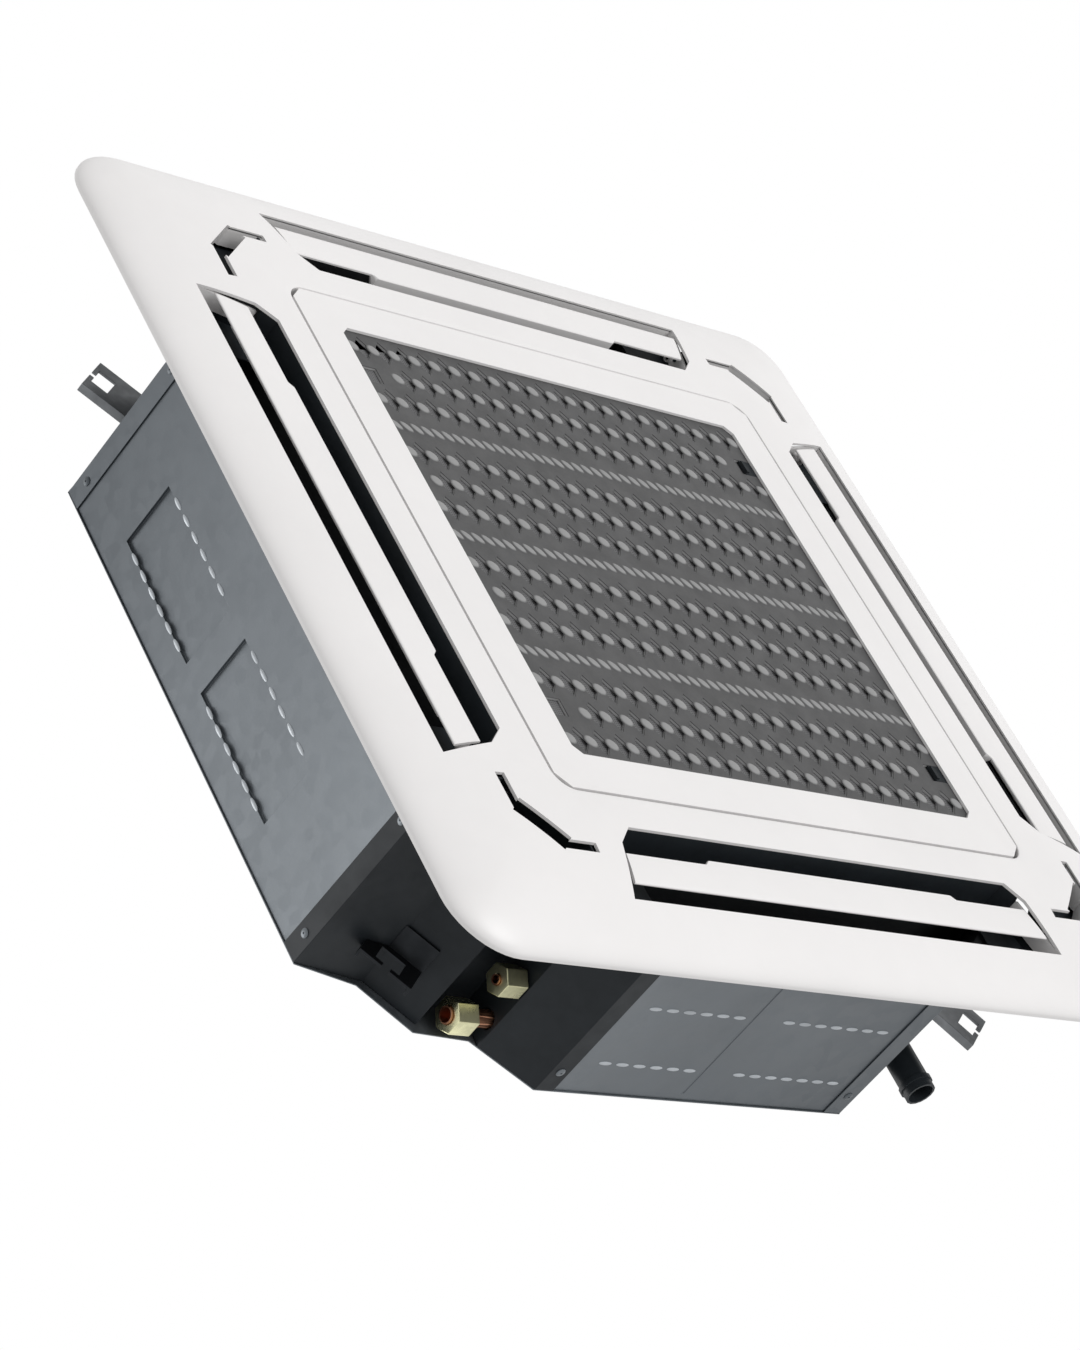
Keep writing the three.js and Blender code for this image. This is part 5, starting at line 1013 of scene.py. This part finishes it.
def knots_at(centres, length, width, height, base):
    """Low oval domes turned 45 degrees: on each, the height falls from the middle as
    1 - distance^2, down to a skirt just inside the lattice. All domes are one array, the unit
    dome's points added to every centre."""
    u, v, faces = unit_dome(KNOT_SIDES, KNOT_RINGS)
    fall = 1 - u ** 2 - v ** 2
    fall[-KNOT_SIDES:] = -0.35
    along, across = u * length / 2, v * width / 2
    turn = math.sqrt(0.5)
    unit = np.stack([(along - across) * turn, (along + across) * turn, base - height * fall], axis=-1)
    flat = np.c_[np.asarray(centres, float), np.zeros(len(centres))]
    points = (flat[:, None, :] + unit[None]).reshape(-1, 3)
    starts = np.arange(len(centres)) * len(unit)
    return points, [[corner + int(start) for corner in face] for start in starts for face in faces]


def knot_centres():
    """Where ribs cross: between neighbouring cells of each row, staggered from row to row."""
    rows = np.arange(-7, 8)
    columns = np.arange(-11, 12)
    row, column = np.meshgrid(rows, columns, indexing="ij")
    shift = np.where(row % 2 == 0, 0.0, CELL_WIDTH / 2)
    x = column * CELL_WIDTH + shift + CELL_WIDTH / 2
    y = row * CELL_ROW
    keep = (row % BAND_ROWS != 0) & (np.abs(x) < LATTICE_HALF - 5) & ~near_notch(x, y)
    return np.c_[x[keep], y[keep]]


def rib_centres():
    """Slanted dashes at half the cells' pitch along every fourth row."""
    x = np.arange(-20, 21) * CELL_WIDTH / 2
    x = x[np.abs(x) < LATTICE_HALF - 6]
    rows = np.array([-BAND_ROWS, 0, BAND_ROWS]) * CELL_ROW
    return np.stack([np.tile(x, 3), np.repeat(rows, len(x))], axis=-1)


class CASSETTE_OT_grille(bpy.types.Operator):
    """Make the intake grille: its frame, lattice, filter and latches"""

    bl_idname = "cassette.make_grille"
    bl_label = "Intake grille"

    def execute(self, context):
        sizes = context.scene.cassette_sizes
        refined("grille_frame", "white_plastic", 0.5)
        base = LATTICE_LOW[2]
        length, width = sizes.knot_length / MM, sizes.knot_width / MM
        height = sizes.knot_height / MM
        extra = [knots_at(knot_centres(), length, width, height, base),
                 knots_at(rib_centres(), length * 1.1, width * 0.6, height, base)]
        refined("grille_lattice", "lattice_plastic", 0.35, extra=extra)
        low, high = node_box("air_filter")
        half = high[0] - 3
        outer_net = block(-half, half, -half, half, low[2], low[2] + 0.4)
        refined("air_filter", "filter_net", 0.4, extra=[outer_net])
        for name in ("rear", "front"):
            refined("grille_latch_" + name, "black_plastic", 0.5)
        return {"FINISHED"}


# ------------------------------------------------------------------ the casing
def screw(centre, outward, diameter):
    """A pan head screw whose domed head stands out from a sheet: a profile turned about the outward
    direction, with the points placed by two axes square to it."""
    r = diameter / 2
    profile = np.array([[0, -0.5], [r, -0.5], [r, 0.5], [r * 0.85, 1.1], [r * 0.5, 1.5], [r * 0.22, 1.55],
                        [r * 0.2, 0.9], [0, 0.9]])
    points, faces = revolved(profile, (0, 0, 0), "X", 16, closed=False)
    out = np.asarray(outward, float) / np.linalg.norm(outward)
    side = np.array([-out[1], out[0], 0.0])
    up = np.array([0, 0, 1.0])
    placed = points[:, :1] * out + points[:, 1:2] * side + points[:, 2:] * up
    return placed + np.asarray(centre, float), faces


DASH_PITCH, DASH_LENGTH, DASH_WIDTH, DASH_HEIGHT = 21.0, 15.0, 4.6, 0.9
DASH_SIDES = 16
DASH_RINGS, DASH_LIFTS = (0.45, 0.8, 1.0, 1.0), (0.95, 0.65, 0.15, -0.4)
# Rows of dashes, as (from, to, height), along the knock-outs of the left and the front side.
LEFT_ROWS = [(start, start + 128, z) for start in (-180, 5) for z in (162.5, 91.5)]
FRONT_ROWS = [(start, stop, z) for start, stop in ((-135, 15), (55, 190)) for z in (158, 85)]
SCREW_HEIGHTS = (30, 172)


def dashes(rows):
    """Rows of small proud dashes punched along a knock-out's edges on the +X side, each a low oval
    dome on the sheet."""
    u, v, faces = unit_dome(DASH_SIDES, DASH_RINGS)
    lift = np.concatenate([[1], np.repeat(DASH_LIFTS, DASH_SIDES)]) * DASH_HEIGHT
    along, up = u * DASH_LENGTH / 2, v * DASH_WIDTH / 2
    parts = []
    for start, stop, z in rows:
        for centre in np.arange(start + DASH_LENGTH / 2, stop - DASH_LENGTH / 2 + 1, DASH_PITCH):
            parts.append((np.stack([CASING_HALF + lift, centre + along, z + up], axis=-1), faces))
    return parts


class CASSETTE_OT_casing(bpy.types.Operator):
    """Make the folded sheet casing with its corner plates, cover, brackets, dashes and screws"""

    bl_idname = "cassette.make_casing"
    bl_label = "Casing"

    def execute(self, context):
        refined("casing_top", "galvanised")
        for name in ("left", "front", "rear", "right"):
            refined("casing_side_" + name, "galvanised")
        for name in CORNER_NAMES[:3]:
            refined("casing_corner_" + name, "galvanised")
        refined("pipe_cover", "black_plastic", 0.6)
        for name in CORNER_NAMES[:3]:
            refined("hanger_bracket_" + name, "bracket_steel", 0.4)
        # The bracket at the pipe corner takes the darker steel, as painted shade.
        refined("hanger_bracket_pipe_corner", "bracket_steel_painted_shade", 0.4)
        self.punch_dashes("edge_dashes_left", LEFT_ROWS, 0)
        self.punch_dashes("edge_dashes_front", FRONT_ROWS, 3)
        self.drive_screws(context.scene.cassette_sizes.screw_head / MM)
        return {"FINISHED"}

    def punch_dashes(self, name, rows, quarters):
        parts = [(turned(points, quarters), faces) for points, faces in dashes(rows)]
        # The dashes take the lighter zinc, as a painted highlight.
        show(name, new_mesh("dashes", parts), "dash_highlight_zinc", body=body_of("casing_top"))

    def drive_screws(self, diameter):
        plate, cover = CORNER_PLATE_HALF, COVER_HALF
        spots = [((plate, 225), (1, 0)), ((225, plate), (0, 1)), ((-225, plate), (0, 1)),
                 ((-plate, 225), (-1, 0)), ((-plate, -225), (-1, 0)), ((-161, -plate), (0, -1)),
                 ((cover, -306), (1, 0)), ((211, -cover), (0, -1))]
        parts = [screw((*spot, z), (*outward, 0), diameter)
                 for z in SCREW_HEIGHTS for spot, outward in spots]
        show("casing_screws", new_mesh("screws", parts), "galvanised", body=body_of("casing_top"))


# ------------------------------------------------------------------ connections
class CASSETTE_OT_connections(bpy.types.Operator):
    """Make the flare nuts, the pipes and the drain stub"""

    bl_idname = "cassette.make_connections"
    bl_label = "Connections"

    def execute(self, context):
        for node in ("gas_flare_nut", "liquid_flare_nut"):
            refined(node, "brass", 0.8)
        for node in ("gas_pipe", "liquid_pipe"):
            refined(node, "copper", 0.3)
        refined("drain_stub", "black_plastic", 0.7)
        refined("drain_hose", "rubber", 0.3)
        return {"FINISHED"}


# ------------------------------------------------------------------ inside
INSIDE = {
    "foam_liner": ("foam", 0.6), "fan_motor": ("bracket_steel", 0.6), "motor_mount_1": ("rubber", 0.6),
    "motor_mount_2": ("rubber", 0.6), "motor_mount_3": ("rubber", 0.6), "turbo_fan": ("fan_plastic", 0.5),
    "shaft_nut": ("galvanised", 0.5), "evaporator_coil": ("fin_aluminium", 0.2),
    "coil_end_plate_front": ("galvanised", 0.3), "coil_end_plate_left": ("galvanised", 0.3),
    "drain_pan": ("foam", 1.0), "bellmouth": ("black_plastic", 0.5), "drain_pump": ("black_plastic", 0.5),
    "pump_impeller": ("white_plastic", 0.2), "float_switch": ("white_plastic", 0.4),
    "float": ("black_plastic", 0.4), "control_box": ("galvanised", 0.3), "control_board": ("board", 0.2),
    "control_box_cover": ("galvanised", 0.3),
}


class CASSETTE_OT_inside(bpy.types.Operator):
    """Finish the fan, coil, drain pan and the other pieces inside"""

    bl_idname = "cassette.make_inside"
    bl_label = "Inside"

    def execute(self, context):
        for node, (slot, width) in INSIDE.items():
            refined(node, slot, width)
        return {"FINISHED"}


# ------------------------------------------------------------------ stage and camera
# The camera is solved from the panel's outline in the photograph: its place in metres and its axes.
CAMERA_PLACE = (2.50075, -1.96742, -1.54181)
CAMERA_RIGHT = (-0.70984952, -0.4041159, -0.57689168)
CAMERA_DOWN = (-0.13137143, -0.72870393, 0.67211021)
CAMERA_FORWARD = (-0.69199365, 0.55288419, 0.46418085)
FOCAL_PIXELS = 3817.77
IMAGE_HEIGHT = 1350
SENSOR = 36.0
FLOOR_Z, FLOOR_HALF = -2.6, 6.0
LAMPS = (
    # towards the lamp, strength, angular size
    ((-0.12, -0.38, -0.92), 1.78, 0.7),
    ((0.45, 0.45, 0.77), 1.0, 0.7),
)
LAMP_DISTANCE = 4.0
WORLD_LIGHT = 0.5


def axes_matrix(x_axis, y_axis, z_axis, place):
    """A world matrix from three axes and a place."""
    rows = [[x_axis[k], y_axis[k], z_axis[k], place[k]] for k in range(3)]
    return Matrix(rows + [[0, 0, 0, 1]])


class CASSETTE_OT_stage(bpy.types.Operator):
    """Set the camera, the floor, the lamps and the white surroundings"""

    bl_idname = "cassette.make_stage"
    bl_label = "Stage and camera"

    def execute(self, context):
        scene = context.scene
        scene.view_settings.view_transform = "Standard"
        self.place_camera(scene)
        self.lay_floor(scene)
        self.set_world(scene)
        for number, lamp in enumerate(LAMPS):
            self.hang_lamp(scene, f"lamp_{number + 1}", *lamp)
        return {"FINISHED"}

    def hang_lamp(self, scene, name, direction, strength, size):
        lamp = bpy.data.lights.new(name, "SUN")
        lamp.energy = strength
        lamp.angle = size
        item = bpy.data.objects.new(name, lamp)
        towards = np.array(direction) / np.linalg.norm(direction)
        side = np.cross((0, 0, 1), towards)
        side /= np.linalg.norm(side)
        item.matrix_world = axes_matrix(side, np.cross(towards, side), towards, towards * LAMP_DISTANCE)
        scene.collection.objects.link(item)

    def place_camera(self, scene):
        camera = bpy.data.cameras.new("camera")
        camera.sensor_width = SENSOR
        camera.lens = FOCAL_PIXELS / IMAGE_HEIGHT * SENSOR
        camera.clip_end = 50
        item = bpy.data.objects.new("camera", camera)
        item.matrix_world = axes_matrix(CAMERA_RIGHT, -np.array(CAMERA_DOWN), -np.array(CAMERA_FORWARD),
                                        CAMERA_PLACE)
        scene.collection.objects.link(item)
        scene.camera = item

    def lay_floor(self, scene):
        mesh = bpy.data.meshes.new("floor")
        corners = [(x * FLOOR_HALF, y * FLOOR_HALF, FLOOR_Z)
                   for x, y in ((-1, -1), (1, -1), (1, 1), (-1, 1))]
        mesh.from_pydata(corners, [], [(0, 1, 2, 3)])
        mesh.materials.append(plastic("floor_paint", (0.8, 0.8, 0.8), shade=0.97, roughness=(0.7, 0.8)))
        floor = bpy.data.objects.new("floor", mesh)
        floor.visible_shadow = False  # so that the lamp from below still lights the panel
        scene.collection.objects.link(floor)

    def set_world(self, scene):
        world = bpy.data.worlds.new("white_room")
        scene.world = world
        world.use_nodes = True
        tree = world.node_tree
        tree.nodes.clear()
        rays = tree.nodes.new("ShaderNodeLightPath")
        seen = calculate(tree, "MAXIMUM", rays.outputs["Is Camera Ray"], rays.outputs["Is Glossy Ray"])
        seen = calculate(tree, "MAXIMUM", seen, rays.outputs["Is Transmission Ray"])
        strength = remap(tree, seen, 0.0, 1.0, WORLD_LIGHT, 1.0)
        background = tree.nodes.new("ShaderNodeBackground")
        background.inputs["Color"].default_value = (1, 1, 1, 1)
        tree.links.new(strength, background.inputs["Strength"])
        output = tree.nodes.new("ShaderNodeOutputWorld")
        tree.links.new(background.outputs[0], output.inputs["Surface"])


# ------------------------------------------------------------------ add-on
OPERATORS = (
    CASSETTE_OT_stage, CASSETTE_OT_panel, CASSETTE_OT_vanes, CASSETTE_OT_grille, CASSETTE_OT_casing,
    CASSETTE_OT_connections, CASSETTE_OT_inside,
)


class CASSETTE_PT_panel(bpy.types.Panel):
    """Lists the sizes, the colours and the steps."""

    bl_label = "Ceiling cassette"
    bl_space_type = "VIEW_3D"
    bl_region_type = "UI"
    bl_category = "Cassette"

    def draw(self, context):
        for group in (context.scene.cassette_sizes, context.scene.cassette_colours):
            for name in group.__annotations__:
                self.layout.prop(group, name)
        for operator in OPERATORS:
            self.layout.operator(operator.bl_idname)


CLASSES = (CassetteSizes, CassetteColours) + OPERATORS + (CASSETTE_PT_panel,)


def register():
    """Registers the classes and puts the two groups of values on the scene."""
    for item in CLASSES:
        bpy.utils.register_class(item)
    bpy.types.Scene.cassette_sizes = bpy.props.PointerProperty(type=CassetteSizes)
    bpy.types.Scene.cassette_colours = bpy.props.PointerProperty(type=CassetteColours)


def unregister():
    """Takes back what register did."""
    del bpy.types.Scene.cassette_colours
    del bpy.types.Scene.cassette_sizes
    for item in reversed(CLASSES):
        bpy.utils.unregister_class(item)


def main():
    """Registers, makes the finishes and then every piece in order."""
    register()
    make_finishes(bpy.context.scene.cassette_colours)
    for operator in OPERATORS:
        group, name = operator.bl_idname.split(".")
        getattr(getattr(bpy.ops, group), name)()
    bpy.context.view_layer.update()


if __name__ == "__main__":
    main()
